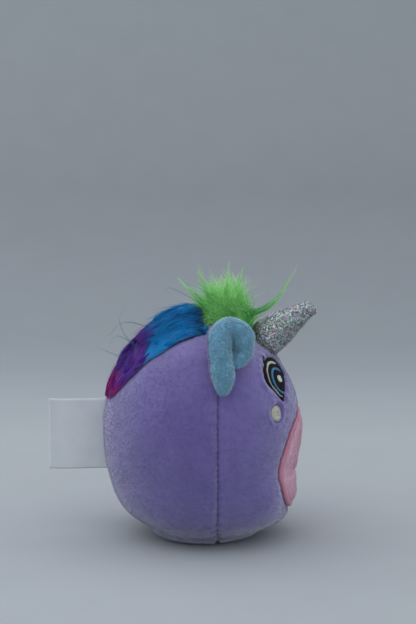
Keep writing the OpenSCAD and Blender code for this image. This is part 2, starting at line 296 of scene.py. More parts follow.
class Nodes:
    """A material's node tree, with its shader. The helpers take and return output sockets."""

    def __init__(self, name):
        self.material = bpy.data.materials.new(name)
        self.material.use_nodes = True
        self.tree = self.material.node_tree
        self.tree.nodes.clear()
        self.shader = self.make("ShaderNodeBsdfPrincipled")
        self.make("ShaderNodeOutputMaterial", Surface=self.shader.outputs[0])
        self.here = self.make("ShaderNodeTexCoord").outputs["Object"]

    def feed(self, node, socket, value):
        """Links an output socket to an input, or sets the input's own value."""
        if isinstance(value, bpy.types.NodeSocket):
            self.tree.links.new(value, node.inputs[socket])
        else:
            node.inputs[socket].default_value = value

    def fix(self, **values):
        for key, value in values.items():
            self.feed(self.shader, key.replace("_", " "), value)

    def make(self, kind, **values):
        """A node with its settings and inputs; an input's name has _ for a space."""
        node = self.tree.nodes.new(kind)
        for key, value in values.items():
            if hasattr(node, key):
                setattr(node, key, value)
            else:
                self.feed(node, key.replace("_", " "), value)
        return node

    def noise(self, scale, detail=2.0, rough=0.5):
        return self.make("ShaderNodeTexNoise", Scale=scale, Detail=detail, Roughness=rough,
                         Vector=self.here).outputs[0]

    def waves(self, **values):
        return self.make("ShaderNodeTexWave", Vector=self.here, **values).outputs[1]

    def attribute(self, name):
        return self.make("ShaderNodeAttribute", attribute_name=name).outputs["Fac"]

    def ramp(self, source, *stops):
        """Stops are (place, colour) or (place, grey level)."""
        node = self.make("ShaderNodeValToRGB", Fac=source)
        points = node.color_ramp.elements
        while len(points) < len(stops):
            points.new(0.5)
        for point, (at, colour) in zip(points, stops):
            point.position = at
            point.color = colour if isinstance(colour, tuple) else (colour, colour, colour, 1)
        return node.outputs[0]

    def mix(self, factor, a, b, kind="MIX"):
        node = self.make("ShaderNodeMix", data_type="RGBA", blend_type=kind)
        for index, value in ((0, factor), (6, a), (7, b)):
            self.feed(node, index, value)
        return node.outputs[2]

    def times(self, a, b):
        return self.mix(1.0, a, b, "MULTIPLY")

    def maths(self, operation, a, b, clamp=False):
        node = self.make("ShaderNodeMath", operation=operation, use_clamp=clamp)
        self.feed(node, 0, a)
        self.feed(node, 1, b)
        return node.outputs[0]

    def hsv(self, hue, saturation, value):
        node = self.make("ShaderNodeCombineColor", mode="HSV")
        for index, part in enumerate((hue, saturation, value)):
            self.feed(node, index, part)
        return node.outputs[0]

    def bump(self, height, strength, distance):
        node = self.make("ShaderNodeBump", Strength=strength, Distance=distance, Height=height)
        self.fix(Normal=node.outputs[0])

    def painted_low_shade(self, source):
        """Painted shade: darkens the colour low on the ball, to half at the bottom and fading out by 22 mm
        up. Heights in m.
        """
        split = self.make("ShaderNodeSeparateXYZ", Vector=self.here)
        height = self.make("ShaderNodeMapRange", From_Max=0.022, Value=split.outputs["Z"]).outputs[0]
        low = self.ramp(height, (0.1, (0.5, 0.5, 0.55, 1)), (0.6, (0.93, 0.93, 0.94, 1)), (1.0, 1))
        return self.times(source, low)


def plush(name, dark, light, sheen=0.5, tint=WHITE, grain=2200, strength=0.5, low_shade=False):
    """Short-pile fabric: soft nap patches, fine pile grain and sheen."""
    m = Nodes(name)
    nap, streak, fine = m.noise(55, 3, 0.55), m.noise(260, 2, 0.6), m.noise(grain, 2, 0.7)
    ends = (0.3, dark), (0.7, light)
    colour = m.mix(0.28, m.ramp(nap, *ends), m.ramp(streak, *ends))
    colour = m.mix(0.7, colour, m.ramp(fine, (0.3, 0.88), (0.72, 1.08)), "MULTIPLY")
    m.bump(fine, strength, 0.0004)
    # the base colour can get painted shade, darker low on the ball
    m.fix(Base_Color=m.painted_low_shade(colour) if low_shade else colour,
          Roughness=m.ramp(nap, (0.2, 0.78), (0.8, 0.95)),
          Sheen_Weight=sheen, Sheen_Roughness=0.55, Sheen_Tint=tint, Specular_IOR_Level=0.4)
    return m.material


def pile(name, root, tip, sheen=0.5, tint=WHITE, low_shade=False):
    """The pile's own fibres: darker at the root, with each fibre a little different."""
    m = Nodes(name)
    shade = m.attribute("shade")
    colour = m.ramp(m.attribute("along"), (0.0, root), (1.0, tip))
    colour = m.times(colour, m.ramp(shade, (0.0, 0.85), (1.0, 1.15)))
    colour = m.times(colour, m.ramp(m.noise(55, 3, 0.55), (0.3, 0.9), (0.7, 1.1)))
    # the fibres' colour can get painted shade, darker low on the ball
    m.fix(Base_Color=m.painted_low_shade(colour) if low_shade else colour,
          Roughness=m.ramp(shade, (0.0, 0.7), (1.0, 0.9)),
          Sheen_Weight=sheen, Sheen_Roughness=0.55, Sheen_Tint=tint, Specular_IOR_Level=0.2)
    return m.material


def hair(name, gloss, *stops):
    """Long pile: colour along each fibre, each fibre a little lighter or darker, with a soft gloss."""
    m = Nodes(name)
    shade = m.attribute("shade")
    own = m.ramp(shade, (0.0, (0.74, 0.74, 0.76, 1)), (0.55, 1), (1.0, (1.32, 1.28, 1.24, 1)))
    m.fix(Base_Color=m.times(m.ramp(m.attribute("along"), *stops), own),
          Roughness=m.ramp(shade, (0.0, 0.42), (1.0, 0.62)), Specular_IOR_Level=gloss)
    return m.material


def thread(name, dark, light, rough=0.42, sheen=0.3):
    """Embroidery thread: twisted strands with a satin gloss."""
    m = Nodes(name)
    shade = m.attribute("shade")
    twist = m.waves(Scale=1500, Distortion=1.5, Detail=1.0)
    own = m.ramp(shade, (0.0, dark), (1.0, light))
    m.bump(twist, 0.35, 0.0001)
    m.fix(Base_Color=m.mix(0.35, own, m.ramp(twist, (0.2, dark), (0.8, light))),
          Roughness=m.ramp(shade, (0.0, rough - 0.08), (1.0, rough + 0.1)),
          Sheen_Weight=sheen, Sheen_Roughness=0.3, Specular_IOR_Level=0.2 + sheen, Anisotropic=0.4)
    return m.material


def woven(name, dark, light, scale=1300, strength=0.5):
    """Fine plain weave or knit."""
    m = Nodes(name)
    cross = m.maths("MULTIPLY", *[m.waves(Scale=scale, bands_direction=way, Distortion=0.6) for way in "ZY"])
    drift = m.noise(120, 3)
    base = m.ramp(drift, (0.3, dark), (0.7, light))
    m.bump(cross, strength, 0.00015)
    m.fix(Base_Color=m.mix(0.35, base, m.ramp(cross, (0.1, dark), (0.7, light))),
          Roughness=m.ramp(drift, (0.3, 0.7), (0.7, 0.85)), Sheen_Weight=0.2, Specular_IOR_Level=0.25)
    return m.material


# the lilac velour and its pile get painted shade, darker low on the ball
velour = plush("velour_lilac", rgb(88, 74, 142), rgb(108, 94, 160), 1.0, rgb(244, 244, 250), 2200, 0.1, True)
velour_pile = pile("velour_lilac_pile", rgb(90, 76, 142), rgb(106, 92, 158), 1.0, rgb(244, 244, 250), True)
pink = plush("velour_pink", rgb(226, 180, 200), rgb(238, 196, 212), 0.4, rgb(250, 225, 235), 2200, 0.15)
pink_pile = pile("velour_pink_pile", rgb(220, 172, 194), rgb(242, 200, 216), 0.4, rgb(250, 225, 235))
sky = plush("plush_blue", rgb(104, 172, 200), rgb(126, 190, 216), 0.8, rgb(210, 235, 250), 2200, 0.2)
sky_pile = pile("plush_blue_pile", rgb(78, 146, 182), rgb(176, 224, 238), 0.8, rgb(215, 238, 250))
seam_thread = thread("thread_purple", rgb(74, 63, 122), rgb(100, 88, 152), 0.6)
plum_thread = thread("thread_plum", rgb(92, 46, 68), rgb(120, 66, 88))
pink_thread = thread("thread_pink", rgb(186, 118, 142), rgb(206, 142, 160))
black_thread = thread("thread_black", rgb(8, 6, 10), rgb(24, 18, 24), 0.6, 0.0)
cream_thread = thread("thread_cream", rgb(170, 166, 150), rgb(206, 202, 186))
teal_thread = thread("thread_teal", rgb(20, 96, 140), rgb(44, 134, 172))
white_thread = thread("thread_white", rgb(190, 192, 190), rgb(216, 218, 214))
silver_thread = thread("thread_silver", rgb(130, 134, 142), rgb(170, 174, 182))
ribbon = woven("ribbon_white", rgb(200, 204, 206), rgb(214, 217, 219), 1500, 0.3)
fleece = woven("fleece_white", rgb(200, 200, 196), rgb(228, 228, 224), 700, 0.6)
knit_blue = woven("knit_blue", rgb(14, 30, 58), rgb(22, 46, 84), 900, 0.7)
knit_green = woven("knit_green", rgb(26, 70, 38), rgb(40, 96, 50), 900, 0.7)
foam = plush("foam", rgb(206, 196, 168), rgb(222, 213, 186), 0.1, WHITE, 900, 0.8)
fibre_fill = plush("fibre_fill", rgb(214, 214, 210), rgb(236, 236, 232), 0.3, WHITE, 1200, 0.8)
GREEN = (0.0, rgb(24, 104, 58)), (0.3, rgb(76, 188, 90)), (1.0, rgb(176, 242, 150))
BLUE = (0.0, rgb(0, 44, 96)), (0.4, rgb(0, 124, 190)), (1.0, rgb(8, 162, 220))
PURPLE = (0.0, rgb(30, 14, 70)), (0.4, rgb(78, 40, 140)), (1.0, rgb(116, 58, 170))
MAGENTA = (0.0, rgb(60, 12, 74)), (0.4, rgb(122, 24, 122)), (1.0, rgb(186, 36, 124))
green_hair, blue_hair, purple_hair, magenta_hair = [
    hair("pile_" + name, 0.3, *stops)
    for name, stops in (("green", GREEN), ("blue", BLUE), ("purple", PURPLE), ("magenta", MAGENTA))]
green_base, blue_base, purple_base, magenta_base = [
    hair("pile_" + name + "_base", 0.02, *stops)
    for name, stops in (("green", GREEN), ("blue", BLUE), ("purple", PURPLE), ("magenta", MAGENTA))]
TEAL = (0.0, rgb(10, 84, 110)), (0.5, rgb(30, 130, 150)), (1.0, rgb(96, 176, 190))
teal_hair = hair("pile_teal", 0.3, *TEAL)


def glitter_cloth():
    """Silver cloth with fine holographic glitter fused onto it."""
    m = Nodes("glitter_cloth")
    cells = m.make("ShaderNodeTexVoronoi", Scale=2600, Vector=m.here)
    split = m.make("ShaderNodeSeparateColor", Color=cells.outputs["Color"]).outputs
    grey = m.ramp(split[0], (0.0, rgb(74, 80, 84)), (0.7, rgb(116, 124, 127)), (1.0, rgb(190, 197, 199)))
    chosen = m.ramp(split[2], (0.0, 0), (0.78, 0), (0.8, 1))
    m.bump(split[0], 0.8, 0.0003)
    m.fix(Base_Color=m.mix(chosen, grey, m.hsv(split[1], 0.55, 0.8)),
          Roughness=m.ramp(split[2], (0.0, 0.3), (1.0, 0.6)), Metallic=0.55, Specular_IOR_Level=0.6)
    return m.material


def glitter_flake():
    """One flake's look: grey to pale, or one hue of its own for about a fifth of them."""
    m = Nodes("glitter_flake")
    tone = m.attribute("along")
    pale = m.ramp(tone, (0.0, rgb(78, 86, 90)), (0.5, rgb(128, 138, 140)), (1.0, rgb(232, 238, 238)))
    chosen = m.ramp(tone, (0.0, 0), (0.28, 0.15), (0.3, 0.85), (0.5, 0.85), (0.52, 0))
    m.fix(Base_Color=m.mix(chosen, pale, m.hsv(m.attribute("shade"), 0.72, 0.85)),
          Roughness=m.ramp(tone, (0.0, 0.2), (1.0, 0.35)), Metallic=0.8)
    return m.material


glitter = glitter_cloth()
flake = glitter_flake()


# ---- cloth simulation ----

SIM_SCALE = 10.0


def inflate(ob, pinned, pressure, frames, cap, shrink=0.0):
    """Swells a closed mesh with Cloth and air pressure, holds the pinned points, and keeps the result.

    It runs at ten times the size, where Cloth's own limits on length and thickness don't matter."""
    rest = coords(ob)
    set_coords(ob, rest * SIM_SCALE)
    group = ob.vertex_groups.new(name="pin")
    for weight in np.unique(np.round(pinned, 2)):
        if weight > 0:
            group.add(np.nonzero(np.round(pinned, 2) == weight)[0].tolist(), float(weight), "REPLACE")
    cloth = ob.modifiers.new("cloth", "CLOTH")
    s = cloth.settings
    s.quality = 4
    s.mass = 0.3
    s.tension_stiffness = s.compression_stiffness = 12
    s.shear_stiffness = 5
    s.bending_stiffness = 0.4
    s.use_pressure = True
    s.uniform_pressure_force = pressure
    s.shrink_min = shrink
    s.vertex_group_mass = "pin"
    s.effector_weights.gravity = 0
    cloth.collision_settings.use_collision = False
    cloth.point_cache.frame_start = 1
    cloth.point_cache.frame_end = frames
    for f in range(1, frames + 1):
        scene.frame_set(f)
    deps = bpy.context.evaluated_depsgraph_get()
    made = ob.evaluated_get(deps).to_mesh()
    co = np.empty(len(made.vertices) * 3, np.float32)
    made.vertices.foreach_get("co", co)
    swollen = co.reshape(-1, 3).astype(float) / MM / SIM_SCALE
    ob.modifiers.clear()
    ob.vertex_groups.clear()
    scene.frame_set(1)
    move = swollen - rest
    far = np.linalg.norm(move, axis=1, keepdims=True)
    set_coords(ob, rest + move * np.minimum(1, cap / np.maximum(far, 1e-6)))


# ---- the ball ----

def profile(low):
    """Radius and height of the ball's lower half, by the share of its outline below the widest ring."""
    flank = FLANK_R * HEEL_TURN
    heel = HEEL_R * (math.pi / 2 - HEEL_TURN)
    s = low * (flank + heel + HEEL_X)
    a = np.clip(s / FLANK_R, 0, HEEL_TURN)
    b = HEEL_TURN + np.clip((s - flank) / HEEL_R, 0, math.pi / 2 - HEEL_TURN)
    c = np.clip(s - flank - heel, 0, HEEL_X)
    on_flank = s <= flank
    r = np.where(on_flank, FLANK_R * np.cos(a) - (FLANK_R - CROWN_R), HEEL_X + HEEL_R * np.cos(b) - c)
    z = np.where(on_flank, WAIST_Z - FLANK_R * np.sin(a), HEEL_R - HEEL_R * np.sin(b))
    return r, z


def ball_points(directions):
    """Points of the ball for directions from the middle of its widest ring."""
    flat = np.hypot(directions[:, 0], directions[:, 1])
    rise = np.arctan2(directions[:, 2], flat)
    spoke = directions[:, :2] / np.maximum(flat, 1e-9)[:, None]
    r, z = profile(np.clip(-rise / (math.pi / 2), 0, 1))
    upper = rise > 0
    r = np.where(upper, CROWN_R * np.cos(rise), r)
    z = np.where(upper, WAIST_Z + CROWN_R * np.sin(rise), z)
    return np.column_stack([spoke * r[:, None], z])


def head_frame(turn, lift):
    t, l = math.radians(turn), math.radians(lift)
    x = np.array([math.cos(t), math.sin(t), 0])
    y = np.array([-math.sin(t) * math.sin(l), math.cos(t) * math.sin(l), math.cos(l)])
    z = np.array([math.sin(t) * math.cos(l), -math.cos(t) * math.cos(l), math.sin(l)])
    return x, y, z


def local_on_head(points, turn, lift, mirrored):
    """Flat (u, v) of points on one side of the head, and whether they face that way."""
    x, y, z = head_frame(turn, lift)
    p = points * ([-1, 1, 1] if mirrored else [1, 1, 1]) - MIDDLE
    return p @ x, p @ y, p @ z > 0


def eye_outline():
    """The eye's outline in its own flat (u, v): an oval drawn out to one pointed corner."""
    t = np.linspace(0, 2 * math.pi, 121)[:-1]
    a, b = EYE_HALF[0] * np.cos(t), EYE_HALF[1] * np.sin(t)
    c, s = math.cos(EYE_SLANT), math.sin(EYE_SLANT)
    oval = np.column_stack([EYE_MIDDLE[0] + c * a - s * b, EYE_MIDDLE[1] + s * a + c * b])
    rel = oval - EYE_CORNER
    side = np.arctan2(rel[:, 0], rel[:, 1])
    first, last = side.argmin(), side.argmax()
    chosen = np.arange(first, first - 120, -1) % 120
    stop = int(np.nonzero(chosen == last)[0][0])
    return np.vstack([oval[chosen[:stop + 1]], EYE_CORNER])


EYE_LINE = eye_outline()


def eye_distance(u, v):
    """Distance out from the eye's outline, negative inside."""
    shape = np.shape(u)
    p = np.column_stack([np.ravel(u), np.ravel(v)])
    best = np.full(len(p), 1e9)
    inside = np.zeros(len(p), bool)
    close = (np.abs(p[:, 0]) < 22) & (np.abs(p[:, 1]) < 22)
    q = p[close]
    near, odd = np.full(len(q), 1e9), np.zeros(len(q), bool)
    for a, b in zip(EYE_LINE, np.roll(EYE_LINE, -1, axis=0)):
        ab = b - a
        t = np.clip((q - a) @ ab / (ab @ ab), 0, 1)
        near = np.minimum(near, np.linalg.norm(q - a - t[:, None] * ab, axis=1))
        crosses = (a[1] > q[:, 1]) != (b[1] > q[:, 1])
        if abs(ab[1]) > 1e-9:
            odd ^= crosses & (q[:, 0] < a[0] + ab[0] * (q[:, 1] - a[1]) / ab[1])
    best[close], inside[close] = near, odd
    return np.where(inside, -best, best).reshape(shape)


def snout_distance(points):
    """Rough distance in mm out from the snout's outline, negative inside, on the front only."""
    x, z = points[:, 0], points[:, 2] - SNOUT_Z
    q = np.hypot(x / SNOUT_W, z / SNOUT_H)
    steepness = np.maximum(np.hypot(x * SNOUT_H / SNOUT_W, z * SNOUT_W / SNOUT_H), 6)
    d = (q - 1) * (SNOUT_W * SNOUT_H) / steepness * q
    return np.where(points[:, 1] < 0, d, 99)


def bell(x, width):
    return np.exp(-(x / width) ** 2)


def seam_distances(points):
    side = np.abs(points[:, 1] - FACE_SEAM_Y)
    back = np.where(points[:, 1] > FACE_SEAM_Y, np.abs(points[:, 0]), 99)
    return side, back


def embroidery(points):
    """Distance out from the eyes and from the cheek spots; 99 on the head's other side."""
    eyes, cheeks = [], []
    for mirrored in (False, True):
        u, v, near = local_on_head(points, EYE_TURN, EYE_LIFT, mirrored)
        eyes.append(np.where(near, eye_distance(u, v), 99))
        u, v, near = local_on_head(points, CHEEK_TURN, CHEEK_LIFT, mirrored)
        cheeks.append(np.where(near, np.hypot(u, v) - CHEEK_R, 99))
    return np.minimum(*eyes), np.minimum(*cheeks)


def ear_tip_distance(points, height):
    """Distance from the nearer ear's sewn tip, taken at this height."""
    away = np.column_stack([np.abs(points[:, 0]) - 39.3, points[:, 1] + 8.8, points[:, 2] - height])
    return np.linalg.norm(away, axis=1)


SIDES = 44
ticks = np.tan(np.linspace(-math.pi / 4, math.pi / 4, SIDES + 1))
cube = []
for axis in range(3):
    for sign in (-1, 1):
        a, b = np.meshgrid(ticks, ticks, indexing="ij")
        face = np.zeros((SIDES + 1, SIDES + 1, 3))
        face[..., axis] = sign
        face[..., (axis + 1) % 3] = a if sign > 0 else b
        face[..., (axis + 2) % 3] = b if sign > 0 else a
        cube.append(face.reshape(-1, 3))
cube_faces = np.concatenate([grid_faces(SIDES + 1, SIDES + 1) + i * (SIDES + 1) ** 2 for i in range(6)])
body = mesh_object("body_work", ball_points(unit(np.concatenate(cube))), cube_faces)
with editing(body.data) as bm:
    bmesh.ops.remove_doubles(bm, verts=bm.verts, dist=0.00005)
    bmesh.ops.recalc_face_normals(bm, faces=bm.faces)

rest = coords(body)
out = normals(body)
azimuth = np.degrees(np.arctan2(rest[:, 0], -rest[:, 1]))
low_z = rest[:, 2]
front = bell(azimuth, 62)
back_side = bell(180 - np.abs(azimuth), 60)
chin = np.interp(low_z, [0, 2.4, 5.2, 8, 10, 12, 16, 20, 23, 27],
                 [0, 0.4, 2.0, 4.2, 5.6, 5.6, 5.0, 3.2, 1.6, 0.3])
heel = np.interp(low_z, [0, 2, 5, 8, 11, 15, 20, 25, 30, 36, 46, 56, 76, 88],
                 [0, -1.1, -1.6, -0.5, 0.7, 1.2, 1.1, 0.8, 0.4, 0, -0.8, -1.2, -1.6, 0])
side_d, back_d = seam_distances(rest)
seam_free = 1 - bell(side_d, 3.5)
under_snout = 1 / (1 + np.exp(snout_distance(rest) / 0.8))
puff = 2.4 * bell(np.abs(azimuth) - 42, 17) * bell(low_z - 22, 9)
shift = (chin * front + heel * back_side + puff) * seam_free - 0.8 * under_snout
rest = rest + out * shift[:, None]
rest = rest - out * (1.0 * (rest[:, 2] > 3) + 0.5 * bell(180 - np.abs(azimuth), 50)
                     + 0.6 * bell(azimuth, 50) * (rest[:, 2] > 26))[:, None]
set_coords(body, rest)

held = np.maximum(bell(side_d, 1.4), bell(back_d, 1.4))
held = np.maximum(held, bell(snout_distance(rest), 1.6))
eye_d, cheek_d = embroidery(rest)
held = np.maximum(held, (eye_d < 0.3) | (cheek_d < 0.4))
held = np.maximum(held, bell(ear_tip_distance(rest, 61.0), 2.5))
held = np.maximum(held, bell(np.linalg.norm(rest - HORN_AT, axis=1) - HORN_R, 2.0))
held = np.maximum(held, (rest[:, 2] < 1.0) * 1.0)
inflate(body, held * (held > 0.3), 6.0, 20, 1.6)
smooth = body.modifiers.new("smooth", "SUBSURF")
smooth.levels = smooth.render_levels = 1
baked(body)

# Cut along the seams, and beside them, so that the grooves have points of their own.
with editing(body.data) as bm:
    for step in (0, -0.35, 0.35, -0.9, 0.9):
        for at, way in (((0, FACE_SEAM_Y + step, 0), (0, 1, 0)), ((step, 0, 0), (1, 0, 0))):
            geometry = bm.verts[:] + bm.edges[:] + bm.faces[:]
            bmesh.ops.bisect_plane(bm, geom=geometry, plane_co=[c * MM for c in at], plane_no=way, dist=1e-6)
    bmesh.ops.triangulate(bm, faces=[f for f in bm.faces if len(f.verts) > 4])

co = coords(body)
out = normals(body)
side_d, back_d = seam_distances(co)
fine_wave, slow_wave = Waves(3, 3.2), Waves(5, 17)
seam_dip = -0.8 * np.maximum(bell(side_d, 0.8), bell(back_d, 0.8))
seam_roll = 0.22 * (bell(side_d - 2.1, 1.3) + bell(back_d - 2.1, 1.3))
pucker = 0.16 * fine_wave(co) * np.maximum(bell(side_d, 3.2), bell(back_d, 3.2))
stitched = bell(snout_distance(co) - 0.4, 1.0)
dip = -0.5 * stitched + 0.14 * fine_wave(co) * bell(snout_distance(co) - 2.0, 2.0)
eye_d, cheek_d = embroidery(co)
dip += -0.55 * bell(np.maximum(eye_d, 0), 1.1) + 0.3 * bell(eye_d - 2.2, 1.0)
dip += -0.6 * bell(np.maximum(cheek_d, 0), 0.9) + 0.35 * bell(cheek_d - 1.6, 0.8)
dip += fine_wave(co) * (0.16 * bell(eye_d - 1.5, 2.0) + 0.14 * bell(cheek_d - 1.2, 1.6))
dip += -0.8 * bell(ear_tip_distance(co, 61.5), 3.0)
socket = np.linalg.norm(co - HORN_AT, axis=1) - HORN_R
dip += -0.5 * bell(np.maximum(socket, 0), 1.2)
co = co + out * (seam_dip + seam_roll + pucker + dip + 0.12 * slow_wave(co))[:, None]
co[:, 2] = np.maximum(co[:, 2], 0.05)
set_coords(body, co)

ray_tree = BVHTree.FromObject(body, bpy.context.evaluated_depsgraph_get())


def drop(starts, directions):
    """Where rays first meet the ball, and the normals there. Points in mm."""
    shape = starts.shape
    starts = starts.reshape(-1, 3)
    directions = np.broadcast_to(directions, shape).reshape(-1, 3)
    hits, norms = np.empty_like(starts), np.empty_like(starts)
    for i in range(len(starts)):
        hit, normal, _, _ = ray_tree.ray_cast(Vector(starts[i] * MM), Vector(directions[i]))
        if hit is None:
            hit, normal, _, _ = ray_tree.find_nearest(Vector(starts[i] * MM))
        hits[i] = np.array(hit) / MM
        norms[i] = normal
    return hits.reshape(shape), norms.reshape(shape)


def drop_from_front(x, z):
    return drop(np.stack([x, np.full_like(x, -90), z], -1), np.array([0, 1.0, 0]))


def on_head(u, v, turn, lift):
    x, y, z = head_frame(turn, lift)
    start = MIDDLE + 70 * z + u[..., None] * x + v[..., None] * y
    return drop(start, -z)


def mirror(ob, name):
    """A copy on the toy's other side."""
    twin = placed(name, ob.data.copy())
    set_coords(twin, coords(twin) * [-1, 1, 1])
    twin.data.flip_normals()
    return twin


def part_of(source, name, keep, material):
    """A panel cut from the ball: the faces whose middles pass keep."""
    me = bpy.data.meshes.new(name)
    with editing(source.data, me) as bm:
        middles = np.array([f.calc_center_median() for f in bm.faces]) / MM
        gone = [f for f, stays in zip(bm.faces, keep(middles)) if not stays]
        bmesh.ops.delete(bm, geom=gone, context="FACES")
    return placed(name, shaded(me), material)


def thicken(ob, thickness, offset=-1):
    solid = ob.modifiers.new("solid", "SOLIDIFY")
    solid.thickness = thickness * MM
    solid.offset = offset
    return baked(ob)


def near_horn(p):
    return np.linalg.norm(p - HORN_AT, axis=1) < HORN_R + 0.35


face_panel = part_of(body, "face_cover", lambda p: (p[:, 1] < FACE_SEAM_Y) & ~near_horn(p), velour)
right_panel = part_of(body, "back_cover_right", lambda p: (p[:, 1] > FACE_SEAM_Y) & (p[:, 0] < 0), velour)
left_panel = part_of(body, "back_cover_left", lambda p: (p[:, 1] > FACE_SEAM_Y) & (p[:, 0] > 0), velour)


def fuzz(name, source, count, length, width, lean, material, seed, keep=None, spread=0.25):
    """Short pile on a surface: tiny closed spikes, all brushed roughly one way."""
    rng = np.random.default_rng(seed)
    p, n, _ = scattered(source, count, rng)
    if keep is not None:
        ok = keep(p, n)
        p, n = p[ok], n[ok]
    count = len(p)
    flow = lean(p) if callable(lean) else np.broadcast_to(lean, p.shape)
    flow = flow - (flow * n).sum(1, keepdims=True) * n
    way = n + flow * 0.9 + spread * rng.normal(size=p.shape)
    way = unit(way - np.minimum((way * n).sum(1, keepdims=True) - 0.3, 0) * n)
    size = length * rng.uniform(0.65, 1.25, (count, 1))
    side = unit(np.cross(way, rng.normal(size=p.shape)))
    other = np.cross(way, side)
    turns = [0, 2 * math.pi / 3, 4 * math.pi / 3]
    root = p - 0.12 * n
    ring = [root + width * (math.cos(t) * side + math.sin(t) * other) for t in turns]
    verts = np.stack([*ring, p + way * size], 1)
    base = (np.arange(count) * 4)[:, None, None]
    faces = (base + np.array([[0, 1, 3], [1, 2, 3], [2, 0, 3], [2, 1, 0]])[None]).reshape(-1, 3)
    along = np.broadcast_to([0.0, 0.0, 0.0, 1.0], (count, 4))
    shade = np.broadcast_to(rng.random((count, 1)), (count, 4))
    return mesh_object(name, verts, faces, material, along=along, shade=shade)


BRUSH = Waves(11, 40), Waves(12, 40)


def brushed(p):
    """The way the velour's pile lies: down and a little back, wandering."""
    return np.column_stack([0.25 * BRUSH[0](p), 0.35 + 0.35 * BRUSH[1](p), np.full(len(p), -0.75)])


def bare(p, n):
    """Where the velour shows its pile: not under the patch, the embroidery or the flat spot."""
    eye_d, cheek_d = embroidery(p)
    return ((p[:, 2] > 0.8) & (snout_distance(p) > 0.2) & (eye_d >= 0.15) & (cheek_d >= 0.15)
            & (np.linalg.norm(p - HORN_AT, axis=1) > HORN_R + 0.6))


fuzz_parts = [
    fuzz("face_cover_pile", face_panel, 48000, 0.45, 0.09, brushed, velour_pile, 21, bare),
    fuzz("back_cover_right_pile", right_panel, 48000, 0.45, 0.09, brushed, velour_pile, 22, bare),
    fuzz("back_cover_left_pile", left_panel, 48000, 0.45, 0.09, brushed, velour_pile, 23, bare),
]

core = placed("foam_ball", body.data.copy(), foam)
set_coords(core, coords(body) - normals(body) * 1.75)

PANELS = (face_panel, "face_panel"), (right_panel, "back_panel_right"), (left_panel, "back_panel_left")
for panel, node in PANELS:
    thicken(panel, 1.0)
    given(panel, "ball", node)
for part in fuzz_parts:
    given(part, "ball")
given(core, "ball", "foam_core")

# ---- stitches ----

def arched(points, norms, low, high, half_width, name, material, seed, sides=8):
    """Satin stitches: each a thread that leaves the fabric, arches over and goes back in."""
    n, k = points.shape[:2]
    t = np.linspace(0, 1, k)
    bow = low + (high - low) * np.sin(np.pi * t) ** 0.55
    p = points + norms * bow[None, :, None]
    taper = np.where((t == 0) | (t == 1), 0.55, 1.0)
    rng = np.random.default_rng(seed)
    w = half_width * taper[None, :] * rng.uniform(0.92, 1.06, (n, 1))
    return tubes(name, p, norms, w, w * 0.8, sides, material, rng.random(n))


# ---- seam threads and the fleece behind the embroidery ----

def seam_run(name, centre, way, first, last, step, gap, node, seed):
    """Stitches along the bottom of a seam's groove; way(angle) points from centre to the seam."""
    starts = np.arange(first, last - step / 2, step + gap)
    angles = np.radians(starts[:, None] + step * np.linspace(0, 1, 5))
    out = way(angles)
    hit, hit_n = drop(centre + 90 * out, -out)
    ob = arched(hit, hit_n, -0.05, 0.22, 0.2, name, seam_thread, seed)
    given(ob, "ball", node)


def across_head(a):
    return np.stack([np.sin(a), 0 * a, np.cos(a)], -1)


def down_back(a):
    return np.stack([0 * a, np.sin(a), np.cos(a)], -1)


SEAM_MIDDLE = np.array([0, FACE_SEAM_Y, WAIST_Z])
seam_run("side_seam_stitches", SEAM_MIDDLE, across_head, -140, 140, 2.6, 0.8, "side_seam_thread", 25)
seam_run("back_seam_stitches", MIDDLE, down_back, 2, 116, 2.6, 0.8, "back_seam_thread", 26)
seam_run("closing_ladder_stitches", MIDDLE, down_back, 117, 137, 1.5, 0.7, "closing_stitches", 27)


lining = part_of(body, "embroidery_fleece", lambda p: np.minimum(*embroidery(p)) < 1.6, fleece)
set_coords(lining, coords(lining) - normals(lining) * 1.15)
thicken(lining, 0.35)
given(lining, "ball", "embroidery_backing")
bpy.data.objects.remove(body)


# ---- snout ----

RINGS, SPOKES = 30, 120
rho = np.linspace(0, 1, RINGS) ** 0.85
phi = np.linspace(0, 2 * math.pi, SPOKES, endpoint=False)
inner_w, inner_h = SNOUT_W - BORDER_W + 0.2, SNOUT_H - BORDER_W + 0.2
sx = rho[:, None] * inner_w * np.cos(phi)
sz = SNOUT_Z + rho[:, None] * inner_h * np.sin(phi)
hit, hit_n = drop_from_front(sx, sz)
edge_in = (1 - rho)[:, None] * 21
SMILE_R, SMILE_Z = 16.9, SNOUT_Z - 6 + 16.9
smile_d = np.abs(np.hypot(hit[..., 0], hit[..., 2] - SMILE_Z) - SMILE_R)
smile_end = np.clip((13.4 - np.abs(hit[..., 0])) / 2.0, 0, 1) * (hit[..., 2] < SMILE_Z)
groove = bell(smile_d, 1.1) * smile_end
rise = (0.1 + 1.6 * (1 - np.exp(-edge_in / 1.3)) + 0.12 * Waves(31, 9)(hit) - 1.25 * groove
        + 0.35 * bell(smile_d - 2.6, 1.6) * smile_end)
smoothed = unit(hit_n + np.array([0, -0.8, 0]))
top = hit + smoothed * rise[..., None]
under = hit - smoothed * 0.3
verts = np.concatenate([top.reshape(-1, 3), under.reshape(-1, 3)])
snout = mesh_object("snout_patch_cover", verts, disc_faces(RINGS, SPOKES), pink)
with editing(snout.data) as bm:
    bmesh.ops.remove_doubles(bm, verts=bm.verts, dist=1e-6)
    bmesh.ops.dissolve_degenerate(bm, dist=1e-7, edges=bm.edges)
    bmesh.ops.recalc_face_normals(bm, faces=bm.faces)
shaded(snout.data)
given(snout, "ball", "snout_patch")


